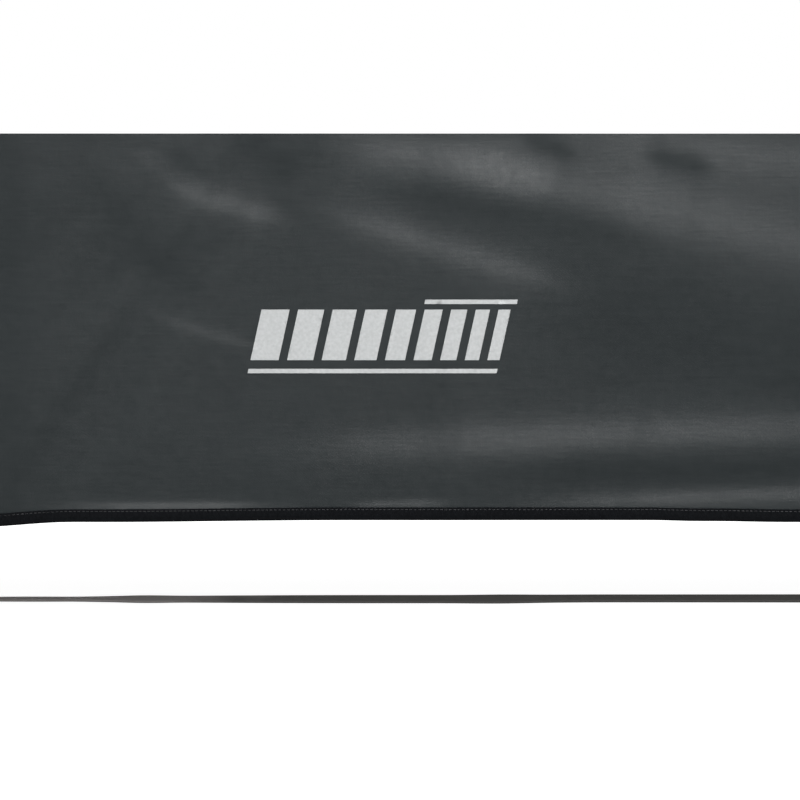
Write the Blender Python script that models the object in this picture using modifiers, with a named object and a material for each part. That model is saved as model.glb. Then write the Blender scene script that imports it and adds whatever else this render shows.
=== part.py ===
"""Hub-style pop-up ground blind: four hub walls and a hub roof over a square footprint.

Metres, +Z up, origin on the ground under the roof hub. The front wall faces -Y.
Each side is drawn once in a hub frame: X along the side, Y up it, Z outward, origin at the
point where the fabric meets the hub. Five empties carry that frame to the sides and the roof.
"""

import math

import bmesh
import bpy
from mathutils import Matrix, Vector

# Driving dimensions
HALF = 0.95  # half the footprint, corner to corner
LOW_Z = 0.03  # lower corner points of the fabric
HIGH_Z = 1.70  # eave corners
BULGE = 0.20  # how far a wall hub stands outside its corners
ROOF_RISE = 0.22
FABRIC = 0.001
SEAM_GAP = 0.0015  # between the edges of neighbouring panels

HALF_HEIGHT = (HIGH_Z - LOW_Z) / 2
HUB_Z = LOW_Z + HALF_HEIGHT
FACET_RUN = math.hypot(HALF_HEIGHT, BULGE)  # from a hub down the middle of the lower facet
SIDE_RUN = math.hypot(HALF, BULGE)  # from a hub across the middle of a side facet

# Hub and cap
HUB_R = 0.055
HUB_TOP = -0.016
HUB_BOTTOM = -0.044
BOSS_R = 0.014
HUB_HOLE_R = 0.020
PIN_RADIUS_OUT = 0.038  # pivot pins, from the hub's axis
PIN_DEPTH = 0.030
SLOT_WIDTH = 0.0132
SLOT_FROM = 0.026
QUARTER = Matrix.Rotation(math.pi / 2, 4, "Z")
CAP_R = 0.050

# Poles
ROD_R = 0.0055
FERRULE_R = 0.0075
TIP_R = 0.007
PIN_R = 0.003
PIN_LENGTH = 0.0256
TIP_BACK = 0.060  # a tip stops this far short of its corner
TIP_DEPTH = 0.016  # and this far inside the fabric

# Hem, its binding and the ground straps
HEM_Z = 0.0741  # lower edge of the binding in mid-wall
HEM_END_Z = 0.050  # and beside the corner boots
HEM_FLAT = 0.60  # the hem is level this far from mid-wall
BINDING_END = 0.855
BINDING_TALL = 0.0102
TAPE = 0.0008
HEM_STEPS = 16
STRAP_Z = 0.0105
STRAP_WIDTH = 0.020
STRAP_THICK = 0.0016
STRAP_HALF = 0.8785
STRAP_OUT = 0.006  # outside the corner line
STRAP_STEPS = 12

# Windows and door, as heights above the ground and insets from the pole lines
LOW_SILL = {"front": 0.3834, "back": 0.352}
LOW_HEAD = 0.620
HIGH_SILL = 1.130
HIGH_HEAD = 1.450
INSET = 0.053  # window edge to pole line, measured level
COVER_LAP = 0.012
COVER_DEPTH = 0.007
DOOR_TOP = 1.50
DOOR_FOOT = 0.20
DOOR_HINGE_X = 0.905
DOOR_NOSE_X = 0.125
CHAIN_WIDTH = 0.010
DOOR_GAP = 0.0012

# Corner boots
BOOT_REACH = 0.085
BOOT_NEAR = 1.0007  # the boot's inner and outer shells are the body's hull, grown this much
BOOT_FAR = 1.0037
FOOT_R = 0.052
FOOT_TALL = 0.040
FOOT_IN = 0.022  # foot centre, inside the corner along X and along Y

TURNS = {"front": 0, "right": 90, "back": 180, "left": 270}
CORNERS = {
    "front_left": (-1, -1),
    "front_right": (1, -1),
    "back_right": (1, 1),
    "back_left": (-1, 1),
}


def clear_scene():
    for obj in list(bpy.data.objects):
        bpy.data.objects.remove(obj, do_unlink=True)


def new_collection(name):
    made = bpy.data.collections.new(name)
    bpy.context.scene.collection.children.link(made)
    return made


def make_material(name, colour, roughness, metallic=0.0):
    mat = bpy.data.materials.new(name)
    mat.use_nodes = True
    shader = mat.node_tree.nodes["Principled BSDF"]
    shader.inputs["Base Color"].default_value = (*colour, 1.0)
    shader.inputs["Roughness"].default_value = roughness
    shader.inputs["Metallic"].default_value = metallic
    return mat


def add_object(name, mesh, parent=None, mat=None, where=None):
    obj = bpy.data.objects.new(name, mesh)
    PARTS.objects.link(obj)
    if parent:
        obj.parent = parent
    if where:
        obj.matrix_local = where
    if mat and not mesh.materials:
        mesh.materials.append(mat)
    return obj


def add_cutter(name, mesh, parent=None, where=None):
    obj = bpy.data.objects.new(name, mesh)
    CUTTERS.objects.link(obj)
    if parent:
        obj.parent = parent
    if where:
        obj.matrix_local = where
    obj.hide_render = True
    obj.display_type = "WIRE"
    return obj


def boolean(obj, operation, other):
    made = obj.modifiers.new(f"{operation.lower()}_{other.name}", "BOOLEAN")
    made.operation = operation
    made.object = other
    return made


def settled_mesh(obj, name):
    """The object's evaluated mesh as a mesh of its own, with its loose caps welded; the object goes."""
    bpy.context.view_layer.update()
    graph = bpy.context.evaluated_depsgraph_get()
    mesh = bpy.data.meshes.new_from_object(obj.evaluated_get(graph))
    mesh.name = name
    bm = bmesh.new()
    bm.from_mesh(mesh)
    bmesh.ops.remove_doubles(bm, verts=bm.verts, dist=0.00001)
    bm.to_mesh(mesh)
    bm.free()
    bpy.data.objects.remove(obj, do_unlink=True)
    return mesh


def turned_mesh(name, profile, steps):
    """A profile of (radius, height) points, top to bottom on its outer side, turned about Z."""
    bm = bmesh.new()
    verts = [bm.verts.new((r, 0.0, z)) for r, z in profile]
    for a, b in zip(verts, verts[1:]):
        bm.edges.new((a, b))
    mesh = bpy.data.meshes.new(name)
    bm.to_mesh(mesh)
    bm.free()
    obj = bpy.data.objects.new(name, mesh)
    PARTS.objects.link(obj)
    screw = obj.modifiers.new("screw", "SCREW")
    screw.steps = screw.render_steps = steps
    screw.use_merge_vertices = True
    screw.merge_threshold = 0.00005
    made = settled_mesh(obj, name)
    made.shade_smooth()
    made.set_sharp_from_angle(angle=math.radians(35))
    return made


def slab_mesh(name, outline, low, high):
    """A flat outline in X and Y, filled and thickened from low to high in Z."""
    curve = bpy.data.curves.new(name, "CURVE")
    curve.dimensions = "2D"
    curve.fill_mode = "BOTH"
    curve.extrude = (high - low) / 2
    spline = curve.splines.new("POLY")
    spline.points.add(len(outline) - 1)
    for point, (x, y) in zip(spline.points, outline):
        point.co = (x, y, 0.0, 1.0)
    spline.use_cyclic_u = True
    obj = bpy.data.objects.new(name, curve)
    PARTS.objects.link(obj)
    mesh = settled_mesh(obj, name)
    mesh.transform(Matrix.Translation((0, 0, (low + high) / 2)))
    bm = bmesh.new()
    bm.from_mesh(mesh)
    bmesh.ops.recalc_face_normals(bm, faces=bm.faces)
    bm.to_mesh(mesh)
    bm.free()
    return mesh


def rod_mesh(name, radius, length, axis, sides=8):
    bm = bmesh.new()
    bmesh.ops.create_cone(
        bm, segments=sides, radius1=radius, radius2=radius, depth=length, cap_ends=True
    )
    if axis == "X":
        bmesh.ops.rotate(bm, verts=bm.verts, matrix=Matrix.Rotation(math.pi / 2, 3, "Y"))
    mesh = bpy.data.meshes.new(name)
    bm.to_mesh(mesh)
    bm.free()
    return mesh


def box_mesh(name, low, high):
    bm = bmesh.new()
    bmesh.ops.create_cube(bm, size=1.0)
    size = Vector(high) - Vector(low)
    bmesh.ops.scale(bm, verts=bm.verts, vec=size)
    bmesh.ops.translate(bm, verts=bm.verts, vec=(Vector(low) + Vector(high)) / 2)
    mesh = bpy.data.meshes.new(name)
    bm.to_mesh(mesh)
    bm.free()
    return mesh


def pole_line(height):
    """Half-width of a wall between its pole lines, at a height above the ground."""
    return HALF * abs(height - HUB_Z) / HALF_HEIGHT


def hem_height(x):
    """Lower edge of the hem binding along a wall: level in the middle, dipping to the boots."""
    t = min(max((abs(x) - HEM_FLAT) / (BINDING_END - HEM_FLAT), 0.0), 1.0)
    return HEM_Z + (HEM_END_Z - HEM_Z) * t * t * (3 - 2 * t)


# Frames


def side_frame(side):
    """The hub frame of a wall or of the roof, as an empty at the hub's apex."""
    empty = bpy.data.objects.new(f"{side}_frame", None)
    PARTS.objects.link(empty)
    if side == "roof":
        empty.matrix_world = Matrix.Translation((0, 0, HIGH_Z + ROOF_RISE))
        return empty
    turn = Matrix.Rotation(math.radians(TURNS[side]), 4, "Z")
    upright = Matrix.Rotation(math.pi / 2, 4, "X")
    empty.matrix_world = turn @ Matrix.Translation((0, -HALF - BULGE, HUB_Z)) @ upright
    return empty


def plane_frame(origin, x_axis, y_axis):
    """A matrix whose X and Y lie in a facet of the fabric."""
    x = Vector(x_axis).normalized()
    y = Vector(y_axis).normalized()
    z = x.cross(y)
    made = Matrix((x, y, z)).transposed().to_4x4()
    made.translation = Vector(origin)
    return made


LOWER_UP = Vector((0, HALF_HEIGHT, BULGE)) / FACET_RUN
UPPER_UP = Vector((0, HALF_HEIGHT, -BULGE)) / FACET_RUN
SIDE_OUT = Vector((HALF, 0, -BULGE)) / SIDE_RUN


# Frame parts: hubs, caps and poles


def hub_mesh(name, half_x, half_y):
    """A disc with four slots along the poles, a bore across each slot for its pivot pin."""
    profile = [
        (0, 0.0015),
        (BOSS_R, 0.0015),
        (BOSS_R, HUB_TOP),
        (HUB_R - 0.005, HUB_TOP),
        (HUB_R, HUB_TOP - 0.004),
        (HUB_R, HUB_BOTTOM + 0.004),
        (HUB_R - 0.004, HUB_BOTTOM),
        (0, HUB_BOTTOM),
    ]
    hub = bpy.data.objects.new(name, turned_mesh(name, profile, 20))
    PARTS.objects.link(hub)
    helpers = []
    for sx in (-1, 1):
        for sy in (-1, 1):
            angle = math.atan2(sy * half_y, sx * half_x)
            turn = Matrix.Rotation(angle, 4, "Z")
            half = SLOT_WIDTH / 2
            slot = box_mesh("slot", (SLOT_FROM, -half, -0.06), (0.09, half, -0.001))
            helpers.append(add_cutter("slot", slot, where=turn))
            across = Matrix.Translation((PIN_RADIUS_OUT, 0, -PIN_DEPTH)) @ QUARTER
            bore = rod_mesh("bore", PIN_R + 0.0004, PIN_LENGTH + 0.001, "X")
            helpers.append(add_cutter("bore", bore, where=turn @ across))
    for helper in helpers:
        boolean(hub, "DIFFERENCE", helper)
    mesh = settled_mesh(hub, name)
    for helper in helpers:
        bpy.data.objects.remove(helper, do_unlink=True)
    return mesh


def cap_mesh(name):
    """The dished plate that clamps the fabric from outside, with its pull loop."""
    profile = [
        (0, 0.0125),
        (0.013, 0.0125),
        (0.019, 0.0085),
        (0.044, 0.0015),
        (CAP_R, -0.0025),
        (CAP_R, -0.0062),
        (0.016, -0.0014),
        (0.0155, 0.0019),
        (0, 0.0019),
    ]
    cap = bpy.data.objects.new(name, turned_mesh(name, profile, 18))
    PARTS.objects.link(cap)
    curve = bpy.data.curves.new("loop", "CURVE")
    curve.dimensions = "3D"
    curve.bevel_depth = 0.0025
    curve.bevel_resolution = 1
    curve.use_fill_caps = True
    spline = curve.splines.new("POLY")
    steps = 6
    spline.points.add(steps)
    for i, point in enumerate(spline.points):
        angle = math.pi * i / steps
        point.co = (0.014 * math.cos(angle), 0.0, 0.0085 + 0.019 * math.sin(angle), 1.0)
    loop = bpy.data.objects.new("loop", curve)
    PARTS.objects.link(loop)
    loop = add_cutter("loop", settled_mesh(loop, "loop"))
    boolean(cap, "UNION", loop)
    mesh = settled_mesh(cap, name)
    bpy.data.objects.remove(loop, do_unlink=True)
    return mesh


def pole_mesh(name, length):
    """Rod, ferrule, eye and tip in one, along +Z from the pivot, with its pin along X."""
    profile = [
        (0, length),
        (TIP_R - 0.003, length),
        (TIP_R, length - 0.003),
        (TIP_R, length - 0.030),
        (ROD_R, length - 0.032),
        (ROD_R, 0.080),
        (FERRULE_R, 0.078),
        (FERRULE_R, 0.024),
        (0.0050, 0.019),
        (0.0062, 0.004),
        (0.0055, -0.005),
        (0, -0.007),
    ]
    pole = bpy.data.objects.new(name, turned_mesh(name, profile, 8))
    PARTS.objects.link(pole)
    pin = add_cutter("pin", rod_mesh("pin", PIN_R, PIN_LENGTH, "X"))
    boolean(pole, "UNION", pin)
    mesh = settled_mesh(pole, name)
    bpy.data.objects.remove(pin, do_unlink=True)
    return mesh


def pole_ends(half_x, half_y, rise, sx, sy):
    """Pivot and tip of one pole in its hub frame."""
    corner = Vector((sx * half_x, sy * half_y, -rise))
    flat = Vector((corner.x, corner.y, 0)).normalized()
    pivot = flat * PIN_RADIUS_OUT - Vector((0, 0, PIN_DEPTH))
    tip = corner * (1 - TIP_BACK / corner.length) - Vector((0, 0, TIP_DEPTH))
    return pivot, tip


def make_hub_set(side, frame, half_x, half_y, rise):
    """Hub, cap and the four poles of one side."""
    add_object(f"{side}_hub", hub_mesh(f"{side}_hub", half_x, half_y), frame, NYLON)
    add_object(f"{side}_hub_cap", cap_mesh(f"{side}_hub_cap"), frame, NYLON)
    shared = None
    for sx, across in ((-1, "left"), (1, "right")):
        for sy, up in ((-1, "lower"), (1, "upper")):
            pivot, tip = pole_ends(half_x, half_y, rise, sx, sy)
            if shared is None:
                shared = pole_mesh(f"{side}_pole", (tip - pivot).length)
            along = (tip - pivot).normalized()
            pin_axis = Vector((-tip.y, tip.x, 0)).normalized()
            where = Matrix((pin_axis, along.cross(pin_axis), along)).transposed().to_4x4()
            where.translation = pivot
            add_object(f"{side}_pole_{up}_{across}", shared, frame, FIBREGLASS, where)


# Fabric panels


def pyramid_mesh(name, half_x, half_y, rise):
    """The four facets of one side, apex at the origin, edges drawn in by the seam gap."""
    bm = bmesh.new()
    bmesh.ops.create_cone(bm, segments=4, radius1=1.0, radius2=0.0, depth=1.0, cap_ends=False)
    bmesh.ops.remove_doubles(bm, verts=bm.verts, dist=0.0001)
    bmesh.ops.rotate(bm, verts=bm.verts, matrix=Matrix.Rotation(math.pi / 4, 3, "Z"))
    bmesh.ops.translate(bm, verts=bm.verts, vec=(0, 0, -0.5))
    reach = math.sqrt(2)
    shrink_x = 1 - SEAM_GAP / half_x
    shrink_y = 1 - SEAM_GAP / half_y
    for vert in bm.verts:
        vert.co.x *= half_x * reach * shrink_x
        vert.co.y *= half_y * reach * shrink_y
        vert.co.z *= rise * min(shrink_x, shrink_y)
    bmesh.ops.recalc_face_normals(bm, faces=bm.faces)
    up = sum((face.normal.z for face in bm.faces))
    if up < 0:
        bmesh.ops.reverse_faces(bm, faces=bm.faces)
    mesh = bpy.data.meshes.new(name)
    bm.to_mesh(mesh)
    bm.free()
    return mesh


def fabric_panel(name, frame, half_x, half_y, rise, cutters):
    panel = add_object(name, pyramid_mesh(name, half_x, half_y, rise), frame, BLACKOUT)
    solid = panel.modifiers.new("thickness", "SOLIDIFY")
    solid.thickness = FABRIC
    solid.offset = -1
    for cutter in cutters:
        boolean(panel, "DIFFERENCE", cutter)
    return panel


def window_outline(low, high, grow=0.0):
    """Trapezium between the pole lines, in hub frame X and Y; grow widens it sideways."""
    widths = [pole_line(low) - INSET + grow, pole_line(high) - INSET + grow]
    return [
        (-widths[0], low - HUB_Z),
        (widths[0], low - HUB_Z),
        (widths[1], high - HUB_Z),
        (-widths[1], high - HUB_Z),
    ]


def low_line(x):
    """Height, in the hub frame, at which a fabric wall ends above its hem binding's fold."""
    return hem_height(x) + TAPE + 0.0006 - HUB_Z


def hem_outline():
    """Everything below the hem, in hub frame X and Y."""
    count = HEM_STEPS
    xs = [-BINDING_END + 2 * BINDING_END * i / count for i in range(count + 1)]
    top = [(x, low_line(x)) for x in xs]
    beyond = HALF + 0.05
    return [(-beyond, -1.2), (beyond, -1.2), (beyond, top[-1][1])] + top[::-1] + [(-beyond, top[0][1])]


def door_edges():
    """Doorway triangle in hub frame X and Y: nose by the hub, then foot and top at the hinge."""
    return [(DOOR_NOSE_X, 0.0), (DOOR_HINGE_X, DOOR_FOOT - HUB_Z), (DOOR_HINGE_X, DOOR_TOP - HUB_Z)]


def make_walls(frames):
    for side, frame in frames.items():
        if side == "roof":
            hole = add_cutter("roof_hole", rod_mesh("roof_hole", HUB_HOLE_R, 0.2, "Z", 16), frame)
            fabric_panel("roof_fabric", frame, HALF, HALF, ROOF_RISE, [hole])
            continue
        cutters = [
            add_cutter(f"{side}_hole", rod_mesh(f"{side}_hole", HUB_HOLE_R, 0.2, "Z", 16), frame),
            add_cutter(f"{side}_below", slab_mesh(f"{side}_below", hem_outline(), -0.3, 0.1), frame),
        ]
        high = slab_mesh(f"{side}_high_light", window_outline(HIGH_SILL, HIGH_HEAD), -0.3, 0.1)
        cutters.append(add_cutter(f"{side}_high_light", high, frame))
        if side in LOW_SILL:
            low = window_outline(LOW_SILL[side], LOW_HEAD)
            low = slab_mesh(f"{side}_low_light", low, -0.3, 0.1)
            cutters.append(add_cutter(f"{side}_low_light", low, frame))
        if side == "back":
            door = slab_mesh("doorway", door_edges(), -0.3, 0.1)
            cutters.append(add_cutter("doorway", door, frame))
        fabric_panel(f"{side}_wall", frame, HALF, HALF_HEIGHT, BULGE, cutters)


# Window covers, door and its zip


def make_cover(frame, name, low, high, up_axis, hangs):
    """A flap behind a window: hinged at the sill and hanging open, or at the head and closed."""
    run = FACET_RUN / HALF_HEIGHT
    sill_y = low - HUB_Z
    head_y = high - HUB_Z
    wide = window_outline(low, high, COVER_LAP)
    tall = (high - low) * run + COVER_LAP
    bottom, top = wide[1][0], wide[2][0]
    hinge_y = sill_y if hangs else head_y
    flat = Vector((0, hinge_y, -abs(hinge_y) * BULGE / HALF_HEIGHT))
    normal = Vector((1, 0, 0)).cross(up_axis)
    origin = flat - normal * (COVER_DEPTH + FABRIC)
    if hangs:
        outline = [(-bottom, -0.002), (-top, -tall), (top, -tall), (bottom, -0.002)]
    else:
        outline = [(-top, -0.002), (-bottom, -tall), (bottom, -tall), (top, -0.002)]
    mesh = slab_mesh(name, outline, -FABRIC / 2, FABRIC / 2)
    add_object(name, mesh, frame, BLACKOUT, plane_frame(origin, (1, 0, 0), up_axis))


def make_covers(frames):
    for side in TURNS:
        frame = frames[side]
        make_cover(frame, f"{side}_high_cover", HIGH_SILL, HIGH_HEAD, UPPER_UP, False)
        if side in LOW_SILL:
            make_cover(frame, f"{side}_low_cover", LOW_SILL[side], LOW_HEAD, LOWER_UP, True)


def in_side_facet(points):
    """Hub frame X and Y points as points in the side facet's own plane."""
    return [(x * SIDE_RUN / HALF, y) for x, y in points]


def shifted_edge(a, b, distance):
    """The edge from a to b moved to its left by a distance."""
    along = (Vector(b) - Vector(a)).normalized()
    left = Vector((-along.y, along.x)) * distance
    return Vector(a) + left, Vector(b) + left


def meeting(first, second):
    """Where two lines, each given by two points, cross."""
    p, q = first
    r, s = second
    d, e = q - p, s - r
    t = ((r.x - p.x) * e.y - (r.y - p.y) * e.x) / (d.x * e.y - d.y * e.x)
    return p + d * t


def inset_door(legs, hinge):
    """The doorway triangle drawn in by one distance along its two zip legs and another at the hinge."""
    nose, foot, top = [Vector(p) for p in in_side_facet(door_edges())]
    lower = shifted_edge(nose, foot, legs)
    rear = shifted_edge(foot, top, hinge)
    upper = shifted_edge(top, nose, legs)
    return meeting(upper, lower), meeting(lower, rear), meeting(rear, upper)


def make_door(frame):
    facet = plane_frame((0, 0, 0), SIDE_OUT, (0, 1, 0))
    flap = inset_door(CHAIN_WIDTH + 2 * DOOR_GAP, DOOR_GAP)
    add_object("door_flap", slab_mesh("door_flap", flap, -FABRIC, 0), frame, BLACKOUT, facet)
    outer = inset_door(DOOR_GAP, 0.012)
    inner = inset_door(DOOR_GAP + CHAIN_WIDTH, 0.012)
    outline = [outer[1], outer[0], outer[2], inner[2], inner[0], inner[1]]
    chain = slab_mesh("door_zip_chain", outline, -0.0022, 0.0002)
    add_object("door_zip_chain", chain, frame, ZIP_TAPE, facet)
    middle = inset_door(DOOR_GAP + CHAIN_WIDTH / 2, 0.012)
    for name, end in (("door_slider_lower", middle[1]), ("door_slider_upper", middle[2])):
        along = (end - middle[0]).normalized()
        start = middle[0] + along * 0.040
        where = plane_frame((start.x, start.y, 0.0007), (*along, 0), (-along.y, along.x, 0))
        slider = add_object(name, slider_mesh(name), frame, ZINC, facet @ where)
        bevel = slider.modifiers.new("edges", "BEVEL")
        bevel.width = 0.0008
        bevel.segments = 1


def slider_mesh(name):
    """A slider's crown plate and the pull that lies back along the chain."""
    outline = [(-0.008, -0.0045), (0.006, -0.0054), (0.009, 0.0), (0.006, 0.0054), (-0.008, 0.0045)]
    pull = [(-0.030, -0.003), (-0.006, -0.003), (-0.006, 0.003), (-0.030, 0.003)]
    plate = bpy.data.objects.new(name, slab_mesh(name, outline, 0.0, 0.0035))
    PARTS.objects.link(plate)
    tab = add_cutter("pull", slab_mesh("pull", pull, 0.0012, 0.0030))
    boolean(plate, "UNION", tab)
    mesh = settled_mesh(plate, name)
    bpy.data.objects.remove(tab, do_unlink=True)
    return mesh


# Hem bindings, straps and boots


def swept_strip(name, rows):
    """An open surface through rows of points, one row a station along the strip."""
    bm = bmesh.new()
    grid = [[bm.verts.new(p) for p in row] for row in rows]
    for near, far in zip(grid, grid[1:]):
        for i in range(len(near) - 1):
            bm.faces.new((near[i], near[i + 1], far[i + 1], far[i]))
    mesh = bpy.data.meshes.new(name)
    bm.to_mesh(mesh)
    bm.free()
    return mesh


def make_binding(side, frame):
    """Tape folded round the hem as a U, outside, under and inside the fabric."""
    normal = Vector((1, 0, 0)).cross(LOWER_UP)
    gap = TAPE / 2 + 0.0005
    back = -gap - FABRIC
    fold = TAPE / 2
    section = [(gap, BINDING_TALL), (gap, fold), (back, fold), (back, BINDING_TALL)]
    count = HEM_STEPS
    rows = []
    for i in range(count + 1):
        x = -BINDING_END + 2 * BINDING_END * i / count
        down = (hem_height(x) - HUB_Z) / HALF_HEIGHT * FACET_RUN
        rows.append([Vector((x, 0, 0)) + LOWER_UP * (down + up) + normal * out for out, up in section])
    obj = add_object(f"{side}_hem_binding", swept_strip(f"{side}_hem_binding", rows), frame, BINDING)
    solid = obj.modifiers.new("thickness", "SOLIDIFY")
    solid.thickness = TAPE
    solid.offset = 0
    solid.use_even_offset = True


def strap_tilt(x):
    """How far the strap leans from flat along its run: it twists slowly from end to end."""
    return math.radians(9 + 5 * math.sin(x * 4.0))


def make_strap(side):
    """Webbing stretched from boot to boot just above the ground, drawn in the front wall's place."""
    count = STRAP_STEPS
    rows = []
    for i in range(count + 1):
        x = -STRAP_HALF + 2 * STRAP_HALF * i / count
        lean = strap_tilt(x)
        reach = Vector((0, math.cos(lean), math.sin(lean))) * STRAP_WIDTH / 2
        centre = Vector((x, -HALF - STRAP_OUT, STRAP_Z))
        rows.append([centre - reach, centre + reach])
    obj = add_object(f"{side}_ground_strap", swept_strip(f"{side}_ground_strap", rows), None, WEBBING)
    obj.rotation_euler = (0, 0, math.radians(TURNS[side]))
    solid = obj.modifiers.new("thickness", "SOLIDIFY")
    solid.thickness = STRAP_THICK
    solid.offset = 0


def body_points():
    corners = [(sx * HALF, sy * HALF, z) for sx, sy in CORNERS.values() for z in (LOW_Z, HIGH_Z)]
    reach = HALF + BULGE
    hubs = [(reach, 0, HUB_Z), (-reach, 0, HUB_Z), (0, reach, HUB_Z), (0, -reach, HUB_Z)]
    return corners + hubs + [(0, 0, HIGH_Z + ROOF_RISE)]


def hull_mesh(name, growth):
    """The whole tent body as one convex solid, grown about its middle."""
    bm = bmesh.new()
    middle = Vector((0, 0, HUB_Z))
    for point in body_points():
        bm.verts.new(middle + (Vector(point) - middle) * growth)
    bmesh.ops.convex_hull(bm, input=bm.verts)
    mesh = bpy.data.meshes.new(name)
    bm.to_mesh(mesh)
    bm.free()
    return mesh


def ball_mesh(name, centre, radius):
    bm = bmesh.new()
    bmesh.ops.create_uvsphere(bm, u_segments=16, v_segments=9, radius=radius)
    bmesh.ops.translate(bm, verts=bm.verts, vec=centre)
    mesh = bpy.data.meshes.new(name)
    bm.to_mesh(mesh)
    bm.free()
    return mesh


def foot_object(name, sx, sy):
    """The moulded pad a lower boot stands on: a turned pad and a tab with a peg hole."""
    profile = [(0, FOOT_TALL), (0.030, FOOT_TALL), (0.045, 0.018), (FOOT_R, 0.010), (FOOT_R, 0), (0, 0)]
    centre = Vector((sx * (HALF - FOOT_IN), sy * (HALF - FOOT_IN), 0))
    pad = add_object(name, turned_mesh(name, profile, 18), None, BOOT, Matrix.Translation(centre))
    tab = [(0.030, -0.018), (0.085, -0.018), (0.097, -0.012), (0.100, 0.0)]
    tab += [(x, -y) for x, y in reversed(tab[:-1])]
    outward = Matrix.Translation(centre) @ Matrix.Rotation(math.atan2(sy, sx), 4, "Z")
    plate = add_cutter(f"{name}_tab", slab_mesh("tab", tab, 0.0, 0.007), None, outward)
    boolean(pad, "UNION", plate)
    hole = add_cutter(f"{name}_hole", rod_mesh("peg_hole", 0.006, 0.05, "Z", 16), None)
    hole.matrix_world = outward @ Matrix.Translation((0.080, 0, 0))
    boolean(pad, "DIFFERENCE", hole)
    return pad


def make_boots():
    """Corner patches hugging the outside of the fabric; the lower ones stand on feet."""
    near = add_cutter("hull_near", hull_mesh("hull_near", BOOT_NEAR))
    for corner, (sx, sy) in CORNERS.items():
        for level, z in (("lower", LOW_Z), ("upper", HIGH_Z)):
            name = f"{level}_boot_{corner}"
            far = bpy.data.objects.new(f"{name}_far", hull_mesh(f"{name}_far", BOOT_FAR))
            PARTS.objects.link(far)
            ball = add_cutter("ball", ball_mesh("ball", (sx * HALF, sy * HALF, z), BOOT_REACH))
            boolean(far, "INTERSECT", ball)
            boolean(far, "DIFFERENCE", near)
            shell = settled_mesh(far, name)
            bpy.data.objects.remove(ball, do_unlink=True)
            if level == "upper":
                add_object(name, shell, None, BOOT)
                continue
            foot = foot_object(name, sx, sy)
            boolean(foot, "UNION", add_cutter(f"{name}_shell", shell))


def main():
    frames = {side: side_frame(side) for side in list(TURNS) + ["roof"]}
    bpy.context.view_layer.update()
    for side, frame in frames.items():
        if side == "roof":
            make_hub_set(side, frame, HALF, HALF, ROOF_RISE)
        else:
            make_hub_set(side, frame, HALF, HALF_HEIGHT, BULGE)
            make_binding(side, frame)
            if side != "back":
                make_strap(side)
    make_walls(frames)
    make_covers(frames)
    make_door(frames["back"])
    make_boots()


clear_scene()
PARTS = new_collection("pop_up_ground_blind")
CUTTERS = new_collection("cutters")
CUTTERS.hide_render = True
BLACKOUT = make_material("blackout_fabric", (0.040, 0.046, 0.050), 0.45)
BINDING = make_material("binding_tape", (0.013, 0.014, 0.016), 0.80)
WEBBING = make_material("strap_webbing", (0.075, 0.070, 0.066), 0.85)
NYLON = make_material("moulded_nylon", (0.018, 0.018, 0.019), 0.50)
FIBREGLASS = make_material("fibreglass_rod", (0.030, 0.030, 0.030), 0.35)
ZIP_TAPE = make_material("zip_tape", (0.012, 0.012, 0.013), 0.70)
ZINC = make_material("slider_zinc", (0.08, 0.08, 0.08), 0.40, 1.0)
BOOT = make_material("boot_vinyl", (0.015, 0.015, 0.016), 0.60)
main()
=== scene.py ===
"""Looks of the pop-up ground blind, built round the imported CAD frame. Metres, +Z up.

Each side is drawn in its hub frame, as the CAD is: X along the side, Y up it, Z outward,
origin where the cloth meets the hub. The roof's hub frame is the world's, lifted to its hub.
"""

import math
from contextlib import contextmanager

import bmesh
import bpy
import numpy as np
from mathutils import Matrix, Vector, geometry, noise


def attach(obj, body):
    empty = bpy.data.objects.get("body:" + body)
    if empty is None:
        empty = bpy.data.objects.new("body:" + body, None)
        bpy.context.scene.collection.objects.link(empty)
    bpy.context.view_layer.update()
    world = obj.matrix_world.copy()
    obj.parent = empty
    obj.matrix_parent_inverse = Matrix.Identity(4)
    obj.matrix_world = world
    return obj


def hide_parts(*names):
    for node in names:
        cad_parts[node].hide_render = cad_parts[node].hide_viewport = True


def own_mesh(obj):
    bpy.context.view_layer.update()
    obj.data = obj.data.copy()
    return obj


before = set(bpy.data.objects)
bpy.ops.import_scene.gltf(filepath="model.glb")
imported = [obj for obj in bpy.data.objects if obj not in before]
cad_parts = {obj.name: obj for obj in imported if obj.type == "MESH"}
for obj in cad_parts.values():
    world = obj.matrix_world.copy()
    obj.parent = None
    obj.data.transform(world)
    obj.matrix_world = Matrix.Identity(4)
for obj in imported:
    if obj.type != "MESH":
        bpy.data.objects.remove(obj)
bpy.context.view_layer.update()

# The CAD's driving dimensions
HALF = 0.95
LOW_Z = 0.03
HIGH_Z = 1.70
BULGE = 0.20
ROOF_RISE = 0.22
HALF_HEIGHT = (HIGH_Z - LOW_Z) / 2
HUB_Z = LOW_Z + HALF_HEIGHT
HUB_HOLE_R = 0.020
HEM_Z = 0.0741
HEM_END_Z = 0.050
HEM_FLAT = 0.60
BINDING_END = 0.855
LOW_SILL = {"front": 0.3838, "back": 0.352}
LOW_HEAD = 0.620
HIGH_SILL = 1.130
HIGH_HEAD = 1.450
INSET = 0.053
COVER_LAP = 0.012
COVER_DEPTH = 0.0045
DOOR_TOP = 1.50
DOOR_FOOT = 0.20
DOOR_HINGE_X = 0.905
DOOR_NOSE_X = 0.125
DOOR_GAP = 0.0012
CHAIN_WIDTH = 0.010
PIN_RADIUS_OUT = 0.038
PIN_DEPTH = 0.030
TIP_BACK = 0.060
TIP_DEPTH = 0.016
BINDING_TALL = 0.0102
STRAP_HALF = 0.8785
STRAP_WIDTH = 0.020
STRAP_THICK = 0.0018
STRAP_OUT = 0.006
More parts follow.
